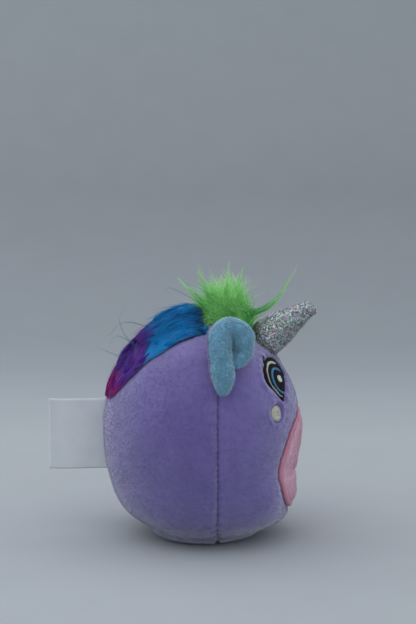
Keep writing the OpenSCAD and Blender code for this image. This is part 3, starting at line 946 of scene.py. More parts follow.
def snout_bare(p, n):
    x, z = p[:, 0] / (SNOUT_W - BORDER_W - 0.3), (p[:, 2] - SNOUT_Z) / (SNOUT_H - BORDER_W - 0.3)
    d = np.abs(np.hypot(p[:, 0], p[:, 2] - SMILE_Z) - SMILE_R)
    on_smile = (d < 0.35) & (np.abs(p[:, 0]) < 12.6) & (p[:, 2] < SMILE_Z)
    return (np.hypot(x, z) < 1) & (n[:, 1] < -0.2) & ~on_smile


snout_pile = fuzz("snout_patch_pile", snout, 26000, 0.6, 0.11, np.array([0.0, 0.0, -0.6]), pink_pile, 24,
                  snout_bare)
given(snout_pile, "ball")


PERIMETER = 135.0
count = int(PERIMETER / 0.36)
fine = np.linspace(0, 2 * math.pi, 4000)
ex, ez = (SNOUT_W - BORDER_W / 2) * np.cos(fine), (SNOUT_H - BORDER_W / 2) * np.sin(fine)
run = np.concatenate([[0], np.cumsum(np.hypot(np.diff(ex), np.diff(ez)))])
spread_phi = np.interp(np.linspace(0, run[-1], count, endpoint=False), run, fine)
norm2 = unit(np.stack([np.cos(spread_phi) / SNOUT_W, np.sin(spread_phi) / SNOUT_H], -1))
cross_t = np.linspace(-BORDER_W / 2 - 0.15, BORDER_W / 2 + 0.15, 7)
jitter = np.random.default_rng(7).normal(0, 0.05, (count, 1))
bx = ((SNOUT_W - BORDER_W / 2) * np.cos(spread_phi))[:, None] + norm2[:, :1] * (cross_t + jitter)
bz = SNOUT_Z + ((SNOUT_H - BORDER_W / 2) * np.sin(spread_phi))[:, None] + norm2[:, 1:] * (cross_t + jitter)
hit, hit_n = drop_from_front(bx, bz)
border = arched(hit, hit_n, 0.05, 1.15, 0.22, "snout_border", pink_thread, 8)
given(border, "ball", "snout_border_stitch")

# the smile: backstitches of thick thread lying in the groove
SMILE_HALF = math.radians(45)
ends = np.linspace(-SMILE_HALF, SMILE_HALF, 15)
t = np.linspace(0, 1, 7)
sa = ends[:-1, None] + (ends[1:] - ends[:-1])[:, None] * t * 1.06
mx, mz = SMILE_R * np.sin(sa), SMILE_Z - SMILE_R * np.cos(sa)
snout_tree = BVHTree.FromObject(snout, bpy.context.evaluated_depsgraph_get())
ball_tree, ray_tree = ray_tree, snout_tree
hit, hit_n = drop_from_front(mx, mz)
ray_tree = ball_tree
forward = np.broadcast_to([0, -1.0, 0], hit.shape)
mouth = arched(hit, forward, -0.05, 0.28, 0.42, "mouth_stitches", plum_thread, 9)
given(mouth, "ball", "mouth_stitch")


# ---- eyes and cheek spots, made for the toy's right side and mirrored ----

def fill_rows(inside, low, high, row, stitch, seed):
    """Rows of running stitches that cover a flat shape: starts and ends in (u, v)."""
    rng = np.random.default_rng(seed)
    spans = []
    us = np.arange(low[0], high[0], 0.05)
    for i, v in enumerate(np.arange(low[1], high[1], row)):
        ok = inside(us, np.full_like(us, v))
        if not ok.any():
            continue
        u0, u1 = us[ok][0], us[ok][-1]
        second = u0 + stitch * (0.35 + 0.3 * (i % 3)) + rng.uniform(-0.2, 0.2)
        cuts = [u0, *np.arange(second, u1 - 0.7, stitch), u1]
        spans += [((a, v), (b, v)) for a, b in zip(cuts[:-1], cuts[1:]) if b - a > 0.3]
    return np.array(spans)


def stitched_piece(name, spans, turn, lift, low, high, half_width, material, seed, points=5):
    t = np.linspace(-0.04, 1.04, points)
    flat = spans[:, 0][:, None] + (spans[:, 1] - spans[:, 0])[:, None] * t[None, :, None]
    hit, hit_n = on_head(flat[..., 0], flat[..., 1], turn, lift)
    return arched(hit, hit_n, low, high, half_width, name, material, seed)


def filled(name, line, turn, lift, rise, material):
    """A thin pad inside an outline, under the rows of stitches."""
    middle = line.mean(0)
    share = np.linspace(0.02, 0.985, 16)[:, None, None]
    flat = middle + (line - middle)[None] * share
    hit, hit_n = on_head(flat[..., 0], flat[..., 1], turn, lift)
    n, k = hit.shape[:2]
    verts = np.concatenate([(hit + hit_n * rise).reshape(-1, 3), (hit - hit_n * 0.3).reshape(-1, 3)])
    faces = [*disc_faces(n, k), np.arange(k)[None, ::-1], n * k + np.arange(k)[None]]
    same = np.ones(len(verts))
    return fixed_normals(mesh_object(name, verts, faces, material, shade=0.3 * same, along=0.5 * same))


def band(middle, radius, first, last, spacing, widths):
    """Satin stitches across a band that follows an arc; widths are (angle, width) stops."""
    spans = []
    angle = first
    while angle < last:
        way = np.array([math.cos(math.radians(angle)), math.sin(math.radians(angle))])
        half = np.interp(angle, [w[0] for w in widths], [w[1] for w in widths]) / 2
        spans.append((np.array(middle) + way * (radius - half), np.array(middle) + way * (radius + half)))
        angle += math.degrees(spacing / radius)
    return np.array(spans)


black_rows = fill_rows(lambda u, v: eye_distance(u, v) < -0.1, (-8, -12), (14, 9), 0.3, 2.4, 41)
lash = np.array([[(-1.2 + 0.25 * i, 6.0 + 0.1 * i), (0.2 + 0.2 * i, 9.2 - 0.3 * i)] for i in range(2)])
black_spans = np.concatenate([black_rows, lash])
white_spans = band((3.0, -2.0), 7.3, 62, 246, 0.3,
                   [(62, 0.4), (75, 1.2), (105, 1.0), (150, 0.35), (190, 0.15), (246, 0.1)])
blue_spans = band((3.1, -2.6), 5.05, 46, 262, 0.28,
                  [(46, 0.5), (60, 0.95), (150, 1.0), (235, 0.8), (240, 0.55), (246, 0.95), (262, 0.8)])
light_rows = fill_rows(lambda u, v: np.hypot((u - 3.15) / 1.5, (v + 1.9) / 1.45) < 1, (1, -4), (6, 1),
                       0.3, 5, 42)
cheek_rows = fill_rows(lambda u, v: np.hypot(u, v) < CHEEK_R - 0.1, (-4, -4), (4, 4), 0.34, 9, 43)
eye_parts = [
    ("eye_black", black_spans, EYE_TURN, EYE_LIFT, 0.0, 0.62, 0.23, black_thread, "thread_black"),
    ("eye_white", white_spans, EYE_TURN, EYE_LIFT, 0.55, 1.0, 0.19, cream_thread, "thread_cream"),
    ("eye_blue", blue_spans, EYE_TURN, EYE_LIFT, 0.55, 1.0, 0.19, teal_thread, "thread_teal"),
    ("eye_highlight", light_rows, EYE_TURN, EYE_LIFT, 0.6, 1.05, 0.2, white_thread, "thread_white"),
    ("cheek_spot", cheek_rows, CHEEK_TURN, CHEEK_LIFT, 0.0, 0.75, 0.22, cream_thread, "thread_cream"),
]
for index, (name, spans, turn, lift, low, high, half, look, slot) in enumerate(eye_parts):
    right = stitched_piece("right_" + name + "_thread", spans, turn, lift, low, high, half, look, 50 + index)
    if name == "eye_black":
        right = joined(right.name, [right, filled("eye_ground", EYE_LINE, turn, lift, 0.32, look)])
    if name == "cheek_spot":
        ring = np.linspace(0, 2 * math.pi, 41)[:-1]
        circle = (CHEEK_R - 0.1) * np.column_stack([np.cos(ring), np.sin(ring)])
        right = joined(right.name, [right, filled("cheek_ground", circle, turn, lift, 0.4, look)])
    left = mirror(right, "left_" + name + "_thread")
    for ob, side in ((right, "right_"), (left, "left_")):
        given(ob, "ball", side + name)


# ---- horn ----

horn_z = np.array([0, -math.cos(HORN_RISE), math.sin(HORN_RISE)])
horn_x = np.array([1.0, 0, 0])
horn_y = np.cross(horn_z, horn_x)


def horn_point(local):
    return HORN_AT + local[..., :1] * horn_x + local[..., 1:2] * horn_y + local[..., 2:] * horn_z


def round_from(turn, degrees):
    """Angle in degrees, -180 to 180, between a turn in radians and a direction in degrees."""
    return np.degrees(np.angle(np.exp(1j * (turn - math.radians(degrees)))))


def horn_surface(inset, rings, spokes, rough):
    slope = math.atan2(HORN_R - HORN_TIP_R, HORN_LEN)
    low = np.linspace(-math.pi / 2 + 0.05, slope, rings // 3)
    base = np.stack([HORN_R * np.cos(low), HORN_R * np.sin(low)], -1)
    high = np.linspace(slope, math.pi / 2 - 0.04, rings // 3)
    tip = np.stack([HORN_TIP_R * np.cos(high), HORN_LEN + HORN_TIP_R * np.sin(high)], -1)
    t = np.linspace(0, 1, rings)[1:-1, None]
    line = np.concatenate([base, base[-1] + (tip[0] - base[-1]) * t, tip])
    turn = np.linspace(0, 2 * math.pi, spokes, endpoint=False)
    r = (line[:, 0] - inset * (line[:, 0] > inset))[:, None] * np.ones(spokes)
    h = line[:, 1][:, None] * np.ones(spokes)
    local = np.stack([r * np.cos(turn), r * np.sin(turn), h], -1)
    if rough:
        swell = 0.16 * Waves(61, 9)(local) + 0.05 * Waves(62, 2.4)(local)
        seam = bell(round_from(turn, -90), 7)[None, :]
        swell = swell + np.where(h > 1.5, seam * 0.28, 0) - 0.25 * bell(h - 2.2, 1.2)
        pinch = bell(h - HORN_LEN - 2.4, 1.6) * bell(round_from(turn, -70), 50)
        top_side = bell(round_from(turn, 90), 60)
        swell = swell + pinch * 0.9 + 0.7 * bell(h - 9, 7) * top_side
        local[..., :2] *= (1 + swell / np.maximum(r, 0.8))[..., None]
    verts = horn_point(local)
    n = len(line)
    bottom = horn_point(np.array([[0, 0, line[0, 1]]]))
    top = horn_point(np.array([[0, 0, line[-1, 1] - inset]]))
    verts = np.concatenate([verts.reshape(-1, 3), bottom, top])
    k = np.arange(spokes)
    k2 = (k + 1) % spokes
    caps = np.concatenate([
        np.stack([k, np.full(spokes, n * spokes), k2], -1),
        np.stack([(n - 1) * spokes + k, (n - 1) * spokes + k2, np.full(spokes, n * spokes + 1)], -1)])
    return verts, [grid_faces(n, spokes, True, True), caps]


horn = fixed_normals(mesh_object("horn_cloth", *horn_surface(0, 36, 84, True), glitter))
filling = fixed_normals(mesh_object("horn_filling", *horn_surface(1.0, 24, 40, False), fibre_fill))
given(horn, "horn", "horn_cover")
given(filling, "horn", "horn_stuffing")


def flakes(name, source, count, seed):
    """Glitter: thin six-sided flakes lying on the cloth, each tipped its own way."""
    rng = np.random.default_rng(seed)
    p, _, n = scattered(source, count, rng)
    above = (p - HORN_AT) @ horn_z > 1.0
    p, n = p[above], n[above]
    count = len(p)
    face = unit(n + rng.normal(0, 0.28, p.shape))
    side = unit(np.cross(face, rng.normal(size=p.shape)))
    other = np.cross(face, side)
    size = rng.uniform(0.13, 0.27, (count, 1))
    turn = np.arange(6) * math.pi / 3
    rings = []
    for level in (0.02, 0.09):
        middle = p + n * 0.05 + face * level
        rings += [middle + size * (math.cos(t) * side + math.sin(t) * other) for t in turn]
    verts = np.stack(rings, 1)
    base = (np.arange(count) * 12)[:, None]
    lower, upper = base + np.arange(6)[None, ::-1], base + 6 + np.arange(6)[None]
    j = np.arange(6)
    j2 = (j + 1) % 6
    walls = (base[:, :, None] + np.stack([j, j2, j2 + 6, j + 6], -1)[None]).reshape(-1, 4)
    hue = np.broadcast_to(rng.random((count, 1)), (count, 12))
    tone = np.broadcast_to(rng.random((count, 1)), (count, 12))
    faces = [np.concatenate([lower, upper]), walls]
    return mesh_object(name, verts, faces, flake, False, along=tone, shade=hue)


glitter_flakes = flakes("horn_glitter", horn, 5200, 63)
given(glitter_flakes, "horn")

turns = np.linspace(0, 2 * math.pi, 30, endpoint=False)
reach = np.linspace(-0.75, 0.75, 6)
ring_r = HORN_R + 1.15 + reach[None, :] * np.ones((30, 1))
skew = turns[:, None] + reach[None] * 0.06
start = HORN_AT + 30 * unit(HORN_AT - MIDDLE) + horn_x * (ring_r * np.cos(skew))[..., None]
out_way = unit(HORN_AT - MIDDLE)
side_way = np.cross(out_way, horn_x)
start = start + side_way * (ring_r * np.sin(skew))[..., None]
hit, hit_n = drop(start, -out_way)
base_stitch = arched(hit, hit_n, -0.1, 0.5, 0.2, "horn_base_stitches", silver_thread, 64)
given(base_stitch, "ball", "horn_base_stitch")


# ---- ears ----

def ear_world(local):
    return EAR_AT + local[..., :1] * EAR_X + local[..., 1:2] * EAR_Y + local[..., 2:] * EAR_Z


def round_tube(path, radius, sides=28):
    """A closed tube in the ear's own frame, with a round end at both ends of its radius list."""
    along = unit(np.gradient(path, axis=0))
    outward = np.array([0, 0, 1.0])
    across = unit(np.cross(along, outward))
    up = np.cross(across, along)
    turn = np.linspace(0, 2 * math.pi, sides, endpoint=False)
    spoke = across[:, None] * np.cos(turn)[:, None] + up[:, None] * np.sin(turn)[:, None]
    ring = path[:, None] + radius[:, None, None] * spoke
    n = len(path)
    verts = np.concatenate([ring.reshape(-1, 3), path[:1], path[-1:]])
    return verts, grid_faces(n, sides, True), end_fans(n, sides)


def stations(rows, n):
    """A smooth path and its radius from rows of (x, y, z, radius)."""
    rows = np.array(rows, float)
    at = np.concatenate([[0], np.cumsum(np.linalg.norm(np.diff(rows[:, :3], axis=0), axis=1))])
    s = np.linspace(0, at[-1], n)
    out = np.stack([np.interp(s, at, rows[:, i]) for i in range(4)], -1)
    for _ in range(3):
        out[1:-1] = (out[:-2] + 2 * out[1:-1] + out[2:]) / 4
    return out[:, :3], out[:, 3]


arch_turn = np.radians(np.linspace(0, 180, 19))
EAR_HOOK = [(0.5, -9.6, -1.2, 1.1), (1.9, -8.5, -0.9, 1.8), (3.6, -6.7, -0.5, 2.2), (4.9, -4.0, -0.2, 2.6),
            (5.0, -2.0, 0, 3.1), *[(4.6 * math.cos(a), 4.6 * math.sin(a), 0, 4.1) for a in arch_turn],
            (-4.9, -4.5, 0, 3.75), (-4.8, -8.0, 0, 3.6), (-4.3, -12.0, 0, 3.9), (-4.3, -15.6, 0, 3.5),
            (-4.4, -18.2, 0, 2.7), (-4.5, -20.0, 0, 1.9), (-4.6, -20.9, 0, 1.0)]
EAR_HOLLOW = [(0.2, 2.0, -0.4, 2.4), (0.3, 1.0, -0.8, 2.3), (0.6, -1.4, -2.6, 2.0), (1.0, -4.0, -4.0, 2.4),
              (1.0, -7.8, -1.6, 2.2)]
all_verts, quads, tris, offset = [], [], [], 0
for rows, n in ((EAR_HOOK, 90), (EAR_HOLLOW, 24)):
    path, thick = stations(rows, n)
    tube_verts, side_faces, caps = round_tube(path, thick * (1 + 0.02 * np.sin(np.linspace(0, 9, n))))
    all_verts.append(tube_verts)
    quads.append(side_faces + offset)
    tris.append(caps + offset)
    offset += len(tube_verts)
ear_faces = [np.concatenate(quads), np.concatenate(tris)]
ear = fixed_normals(mesh_object("ear_work", np.concatenate(all_verts), ear_faces))
voxels = ear.modifiers.new("voxels", "REMESH")
voxels.mode = "VOXEL"
voxels.voxel_size = 0.5 * MM
baked(ear)
ease = ear.modifiers.new("ease", "SMOOTH")
ease.iterations = 3
baked(ear)
co = coords(ear)
pin = np.clip(bell(co[:, 2] + 1.0, 0.8) + (co[:, 1] < -18.5), 0, 1)
inflate(ear, pin * (pin > 0.3), 5.0, 14, 0.5)
co = coords(ear)
co = co + normals(ear) * (0.1 * Waves(71, 4)(co) - 0.45 * bell(co[:, 2] + 1.0, 0.55))[:, None]
set_coords(ear, co)


def ear_half(name, keep_front, material):
    """The ear's blue front or its lilac back, cut off flat and closed."""
    split = -0.95 if keep_front else -1.05
    me = bpy.data.meshes.new(name)
    with editing(ear.data, me) as bm:
        geometry = bm.verts[:] + bm.edges[:] + bm.faces[:]
        made = bmesh.ops.bisect_plane(bm, geom=geometry, plane_co=(0, 0, split * MM), plane_no=(0, 0, 1),
                                      dist=1e-7, clear_inner=keep_front, clear_outer=not keep_front)
        edge = [e for e in made["geom_cut"] if isinstance(e, bmesh.types.BMEdge)]
        bmesh.ops.holes_fill(bm, edges=edge)
        bmesh.ops.triangulate(bm, faces=[f for f in bm.faces if len(f.verts) > 4])
        bmesh.ops.recalc_face_normals(bm, faces=bm.faces)
    ob = placed(name, shaded(me), material)
    co = coords(ob)
    if not keep_front:
        flare = (normals(ob) * [1, 1, 0] * 0.75 + [-0.55, 0.4, 0]) * bell(co[:, 2] + 1.05, 1.6)[:, None]
        co = co + flare * (1 - bell(co[:, 1] + EAR_LEG, 4))[:, None]
    set_coords(ob, ear_world(co))
    return ob


def ear_flow(p):
    return np.broadcast_to(-0.5 * EAR_Y + 0.2 * EAR_X, p.shape)


right_lining = ear_half("right_ear_plush", True, sky)
right_back = ear_half("right_ear_cover", False, velour)
right_lining_pile = fuzz("right_ear_plush_pile", right_lining, 13000, 1.15, 0.13, ear_flow, sky_pile, 72,
                         lambda p, n: n @ EAR_Z > -0.96, 0.5)
right_back_pile = fuzz("right_ear_cover_pile", right_back, 8000, 0.7, 0.11, ear_flow, velour_pile, 73,
                       lambda p, n: n @ EAR_Z < 0.96)
bpy.data.objects.remove(ear)
EAR_PIECES = (
    (right_lining, "left_ear_plush", "_ear_lining", "plush_blue"),
    (right_back, "left_ear_cover", "_ear_back", "velour_lilac"),
    (right_lining_pile, "left_ear_plush_pile", None, "plush_blue"),
    (right_back_pile, "left_ear_cover_pile", None, "velour_lilac"),
)
for right, left_name, node, slot in EAR_PIECES:
    left = mirror(right, left_name)
    for ob, side in ((right, "right"), (left, "left")):
        given(ob, side + "_ear", node and side + node)

tack_y = np.linspace(-10.6, -8.8, 10)
tack_z = np.linspace(63.3, 64.1, 5)
start = np.stack([np.full((10, 5), -70.0), tack_y[:, None] + 0 * tack_z, tack_z + 0 * tack_y[:, None]], -1)
hit, hit_n = drop(start, np.array([1.0, 0, 0]))
right_tack = arched(hit, hit_n, 0.0, 0.5, 0.2, "right_ear_tack_threads", seam_thread, 74)
left_tack = mirror(right_tack, "left_ear_tack_threads")
for ob, side in ((right_tack, "right"), (left_tack, "left")):
    given(ob, "ball", side + "_ear_tack")


# ---- hair ----

# (y, z) of the centre the mane turns about, the radius of its bow from side to side, and how far down
# it reaches, in degrees back from upright: the label needs the room below.
MANE_AT, MANE_BOW, MANE_STOP = np.array([-3.0, 52.5]), 24.0, 82.5


def mane_width(theta):
    """Half-width of the mane at an angle back from upright: it rounds off to a point below 52 degrees."""
    rounding = np.sqrt(np.clip(1 - (np.maximum(theta - 52, 0) / 38) ** 2, 0.02, 1))
    return np.interp(theta, [0, 12, 30], [17, 19.5, 21.5]) * rounding


def mane_env(theta, x):
    """Outer and inner distance of the mane's bulk from its turning centre, at an angle back from upright."""
    width = mane_width(theta)
    q = np.clip(np.abs(x) / width, 0, 1)
    outer = np.interp(theta, [0, 6, 18, 37, 60, 73, 85], [44.6, 44.0, 42.0, 40.8, 40.1, 41.3, 41.6])
    outer = outer - MANE_BOW + np.sqrt(MANE_BOW ** 2 - x ** 2)
    t = np.radians(theta)
    cy, cz = MANE_AT[0], MANE_AT[1] - WAIST_Z
    under = CROWN_R - np.interp(theta, [0, 20, 45], [0.8, 1.2, 2.9]) * (1 - 0.5 * (x / 22) ** 2)
    b = cy * np.sin(t) + cz * np.cos(t)
    inner = -b + np.sqrt(np.maximum(b * b - (cy * cy + cz * cz + x * x - under ** 2), 1))
    outer = np.maximum(inner + (outer - inner) * (1 - q ** 3), inner + 0.3)
    return inner, outer


def mane_point(theta, x, level):
    inner, outer = mane_env(theta, x)
    r = inner + (outer - inner) * level
    t = np.radians(theta)
    return np.stack([x, MANE_AT[0] + r * np.sin(t), MANE_AT[1] + r * np.cos(t)], -1)


def lean(x, most):
    """How much further down a colour reaches at the mane's sides than along its middle."""
    return most * (np.abs(x) / 20) ** 1.5


def reach_of(x, first, last, edges):
    """Where a colour starts and stops at x, as angles back from upright."""
    return first + lean(x, edges[0]), last + lean(x, edges[1])


def mane_fur(first, last, count, sweep, seed, edges, locks=34):
    """Strands of the mane that gather into locks: their points, outward ways, widths and shades."""
    rng = np.random.default_rng(seed)
    k = 7
    t = np.linspace(0, 1, k)[None, :]
    x0 = rng.uniform(-1, 1, (count, 1))
    share = rng.random((count, 1))
    start, stop = reach_of(20 * x0, first, last, edges)
    theta0 = start + (stop - start) * share
    x0 = x0 * mane_width(theta0) * 0.98
    level = rng.uniform(0.5, 1.06, (count, 1))
    stray = rng.random((count, 1)) < 0.035
    length = sweep * rng.uniform(0.6, 1.15, (count, 1))
    lock_x = rng.uniform(-20, 20, locks)
    lock_span = last - first + lean(lock_x, edges[1] - edges[0])
    lock_theta = first + lean(lock_x, edges[0]) + lock_span * rng.random(locks)
    lock_len = rng.uniform(0.7, 1.4, locks)
    lock_drift = rng.normal(0, 2.6, locks)
    lock_level = rng.uniform(0.75, 1.12, locks)
    near = ((theta0 - lock_theta) * 0.75) ** 2 + (x0 - lock_x) ** 2
    which = near.argmin(1)
    goal_x = (lock_x[which] * 1.04 + lock_drift[which])[:, None]
    goal_theta = (lock_theta[which] + sweep * lock_len[which])[:, None]
    pull = (0.78 + 0.14 * rng.normal(size=(count, 1))).clip(0.2, 0.96) * t ** 1.5
    theta = theta0 + length * t
    theta = theta * (1 - pull) + (goal_theta + rng.normal(0, 1.2, (count, 1))) * pull
    x = x0 + 1.2 * np.sign(x0) * t
    x = x * (1 - pull) + (goal_x + rng.normal(0, 0.7, (count, 1))) * pull
    theta = np.minimum(theta, MANE_STOP + t + 1.0 * rng.random((count, 1)))
    limit = mane_width(theta) * 1.02
    x = np.clip(x, -limit, limit)
    lift = level * (1 - np.exp(-7 * t)) * (1 - 0.1 * t) * lock_level[which][:, None].clip(0.85, 1.08)
    lift = lift + np.where(stray, 0.55 * t ** 1.5 * rng.uniform(0.2, 1.2, (count, 1)), 0)
    lift = lift + 0.03 * rng.normal(size=(count, 1)) * t
    points = mane_point(theta, x, lift)
    wiggle = Waves(seed + 100, 7)
    stir = np.stack([wiggle(points), wiggle(points + 9), wiggle(points - 7)], -1)
    points = points + 0.25 * t[..., None] * stir
    outward = unit(points - np.array([0, MANE_AT[0], MANE_AT[1]]))
    width = 0.2 * (1 - 0.88 * t ** 1.5) * rng.uniform(0.7, 1.2, (count, 1)) * np.where(stray, 0.55, 1)
    shade = np.clip(0.5 + 0.22 * rng.normal(size=count) + 0.18 * (lock_drift[which] / 2.2), 0, 1)
    return points, outward, width, shade


def bulk(first, last, edges, level):
    """The dense lower part of the mane, which the fibres lie on."""
    share = np.linspace(0, 1, 40)[:, None]
    x = np.linspace(-1, 1, 60)[None]
    start, stop = reach_of(20 * x, first, last, edges)
    theta = np.minimum(start + (stop - start) * share, MANE_STOP)
    x = x * mane_width(theta) * 0.96
    level = level * np.clip(theta / 9, 0.03, 1) ** 0.6
    top = mane_point(theta, x, level + 0 * x)
    low = mane_point(theta, x, 0.02 + 0 * x)
    wave = Waves(81, 5)
    top = top + 0.3 * wave(top)[..., None] * unit(top - np.array([0, MANE_AT[0], MANE_AT[1]]))
    return top, low


def bulk_object(name, first, last, edges, material):
    top, low = bulk(first, last, edges, 0.5)
    nu, nv = top.shape[:2]
    verts = np.concatenate([top.reshape(-1, 3), low.reshape(-1, 3)])
    n = nu * nv
    faces = [grid_faces(nu, nv), grid_faces(nu, nv, False, True) + n]
    i = np.arange(nu - 1)
    j = np.arange(nv - 1)
    for a, b in ((i * nv, (i + 1) * nv), (i * nv + nv - 1, (i + 1) * nv + nv - 1), (j, j + 1),
                 ((nu - 1) * nv + j, (nu - 1) * nv + j + 1)):
        faces.append(np.stack([a, b, b + n, a + n], -1))
    same = np.ones(len(verts))
    return fixed_normals(mesh_object(name, verts, faces, material, along=0.16 * same, shade=0.35 * same))


# name, the strands' first and last angle, their number, sweep and seed, how far the colour's upper and
# lower edge lean at the sides, the bulk's first and last angle, and both materials
MANE_PARTS = (
    ("blue", 0.3, 21, 6400, 19, 82, (0, 18), 0, 29, blue_hair, blue_base),
    ("purple", 22, 60, 5000, 15, 83, (18, 3), 29, 67, purple_hair, purple_base),
    ("magenta", 61, 77, 2600, 12, 84, (3, 0), 67, 86, magenta_hair, magenta_base),
)
for colour, first, last, count, sweep, seed, edges, bulk_first, bulk_last, look, base in MANE_PARTS:
    name = "mane_" + colour
    points, outward, width, shade = mane_fur(first, last, count, sweep, seed, edges)
    strands = tubes(name + "_strands", points, outward, width, width * 0.8, 3, look, shade)
    ob = joined(name, [strands, bulk_object(name + "_bulk", bulk_first, bulk_last, edges, base)])
    given(ob, "ball", "mane_pile_" + colour)


TUFT_AT = np.array([0, -10.5, 84.0])


def tuft_fur(name, count, material, seed, thick=0.17, loose=0.16, tall=1.0):
    """The forelock: many spiky locks that burst up and outwards from behind the horn."""
    rng = np.random.default_rng(seed)
    k = 6
    t = np.linspace(0, 1, k)[None, :, None]
    locks = 60
    way = rng.normal(size=(locks, 3))
    way[:, 2] = np.abs(way[:, 2]) * 0.8 + 0.15
    way[:, 1] = way[:, 1] * 0.7 + 0.02
    way = unit(way)
    reach = rng.uniform(12.5, 18.5, locks) - 4.5 * (way[:, 1] < -0.35)
    spikes = np.array([[-0.2, 0.25, 1.0], [-0.3, -0.2, 1.0], [-0.25, 0.6, 0.8], [0.2, -0.1, 1.0],
                       [-0.35, -0.45, 0.85], [0.35, 0.3, 0.9], [-0.3, 0.05, 1.0]])
    way[:7] = unit(spikes)
    reach[:7] = [23, 22, 21, 22, 16, 20, 19]
    which = rng.integers(0, locks, count)
    root = np.stack([rng.uniform(-9.5, 9.5, count), rng.uniform(-19.5, -4.0, count), np.zeros(count)], -1)
    root[:, 2] = WAIST_Z + np.sqrt(CROWN_R ** 2 - root[:, 0] ** 2 - root[:, 1] ** 2) - 0.5
    aim = unit(way[which] + rng.normal(0, loose, (count, 3)))
    goal = TUFT_AT + aim * (tall * reach[which] * rng.uniform(0.72, 1.06, count))[:, None]
    up = unit(root - MIDDLE)
    middle = root + up * rng.uniform(4, 8, (count, 1)) + (goal - root) * 0.25
    p = root[:, None] * (1 - t) ** 2 + 2 * middle[:, None] * t * (1 - t) + goal[:, None] * t ** 2
    curl = Waves(seed + 1, 8)
    p = p + 1.0 * t * np.stack([curl(p), curl(p + 11), curl(p - 13)], -1)
    # keep clear of the horn and above the head
    rel = p - HORN_AT
    along = rel @ horn_z
    off = rel - along[..., None] * horn_z
    dist = np.linalg.norm(off, axis=-1)
    need = np.where((along > -2) & (along < 24), 9.0, 0)
    push = np.maximum(need - dist, 0)
    p = p + (off / np.maximum(dist, 0.1)[..., None] + [0, 0, 0.4]) * push[..., None]
    out = p - MIDDLE
    d = np.linalg.norm(out, axis=-1)
    p = p + unit(out) * np.maximum(CROWN_R - 0.4 + 1.6 * t[..., 0] - d, 0)[..., None]
    width = thick * (1 - 0.9 * t[..., 0] ** 1.2) * rng.uniform(0.6, 1.2, (count, 1))
    shade = np.clip(0.5 + 0.24 * rng.normal(size=count) + 0.1 * rng.normal(size=locks)[which], 0, 1)
    outward = unit(p - TUFT_AT + [0, 0, 3])
    return tubes(name, p, outward, width, width * 0.8, 3, material, shade)


def tuft_core(name, material):
    """The dense middle of the forelock."""
    down, around = np.linspace(0.02, math.pi - 0.02, 30), np.linspace(0, 2 * math.pi, 48, endpoint=False)
    a, b = np.meshgrid(down, around, indexing="ij")
    d = np.stack([np.sin(a) * np.cos(b), np.sin(a) * np.sin(b), np.cos(a)], -1)
    p = TUFT_AT + [0, 0.8, 2.0] + d * np.array([8.0, 6.8, 6.6])
    p = p + d * (0.8 * Waves(91, 5)(p))[..., None]
    verts = np.concatenate([p.reshape(-1, 3), p[0].mean(0)[None], p[-1].mean(0)[None]])
    same = np.ones(len(verts))
    faces = [grid_faces(30, 48, True), end_fans(30, 48)]
    return fixed_normals(mesh_object(name, verts, faces, material, along=0.1 * same, shade=0.4 * same))


def long_locks(name, material, seed, lines, per, spread=0.35, width=0.17):
    """Single long locks: each a bundle along a curve through given points."""
    rng = np.random.default_rng(seed)
    k = 14
    all_p, shades = [], []
    for line in lines:
        line = np.array(line, float)
        s = np.linspace(0, len(line) - 1, k)
        i = np.clip(s.astype(int), 0, len(line) - 2)
        f = (s - i)[:, None]
        prev, nxt = line[np.maximum(i - 1, 0)], line[np.minimum(i + 2, len(line) - 1)]
        a, b = line[i], line[i + 1]
        curve = 0.5 * ((2 * a) + (b - prev) * f + (2 * prev - 5 * a + 4 * b - nxt) * f ** 2
                       + (3 * a - prev - 3 * b + nxt) * f ** 3)
        for _ in range(per):
            open_ = spread * (1 - 0.75 * np.linspace(0, 1, k))[:, None]
            cutoff = rng.uniform(0.5, 1.0)
            reach = np.linspace(0, cutoff, k) * (k - 1)
            j = np.clip(reach.astype(int), 0, k - 2)
            g = (reach - j)[:, None]
            own = curve[j] * (1 - g) + curve[j + 1] * g
            all_p.append(own + rng.normal(size=3) * open_ + rng.normal(0, 0.03, (k, 3)))
            shades.append(rng.random())
    p = np.array(all_p)
    t = np.linspace(0, 1, k)[None]
    w = width * (1 - 0.85 * t ** 1.5) * np.ones((len(p), 1))
    return tubes(name, p, np.array([0.3, 0.2, 0.9]), w, w, 3, material, np.array(shades))


forelock = joined("forelock", [
    tuft_fur("forelock_strands", 5400, green_hair, 92),
    tuft_core("forelock_core", green_base),
    long_locks("forelock_long", green_hair, 93, [
        [(-3, -14, 88), (-5, -20, 90.5), (-5, -25.5, 92.5), (-4.5, -31, 97), (-4, -35, 103), (-4, -39, 110)],
        [(-2, -15, 88), (-4, -21, 90), (-5, -26, 92), (-5, -30.5, 95.5), (-5, -34, 100.5)],
        [(-4, -9, 90), (-6, -10, 98), (-6, -10.8, 105), (-5, -11.5, 111.5)],
        [(-2, -6, 90), (-3, -3, 98), (-3, -0.5, 104), (-2, 1.2, 110.5)],
        [(2, -12, 90), (3, -14.5, 98), (3, -16, 104), (2, -17.2, 110.5)],
        [(-6, -5, 90), (-8, 1, 97), (-8, 5, 101), (-7, 9, 105)],
    ], 34, 1.0, 0.07)])
given(forelock, "ball", "forelock_pile")
forelock_haze = tuft_fur("forelock_haze", 4200, green_hair, 97, 0.085, 0.34, 1.05)
given(forelock_haze, "ball")

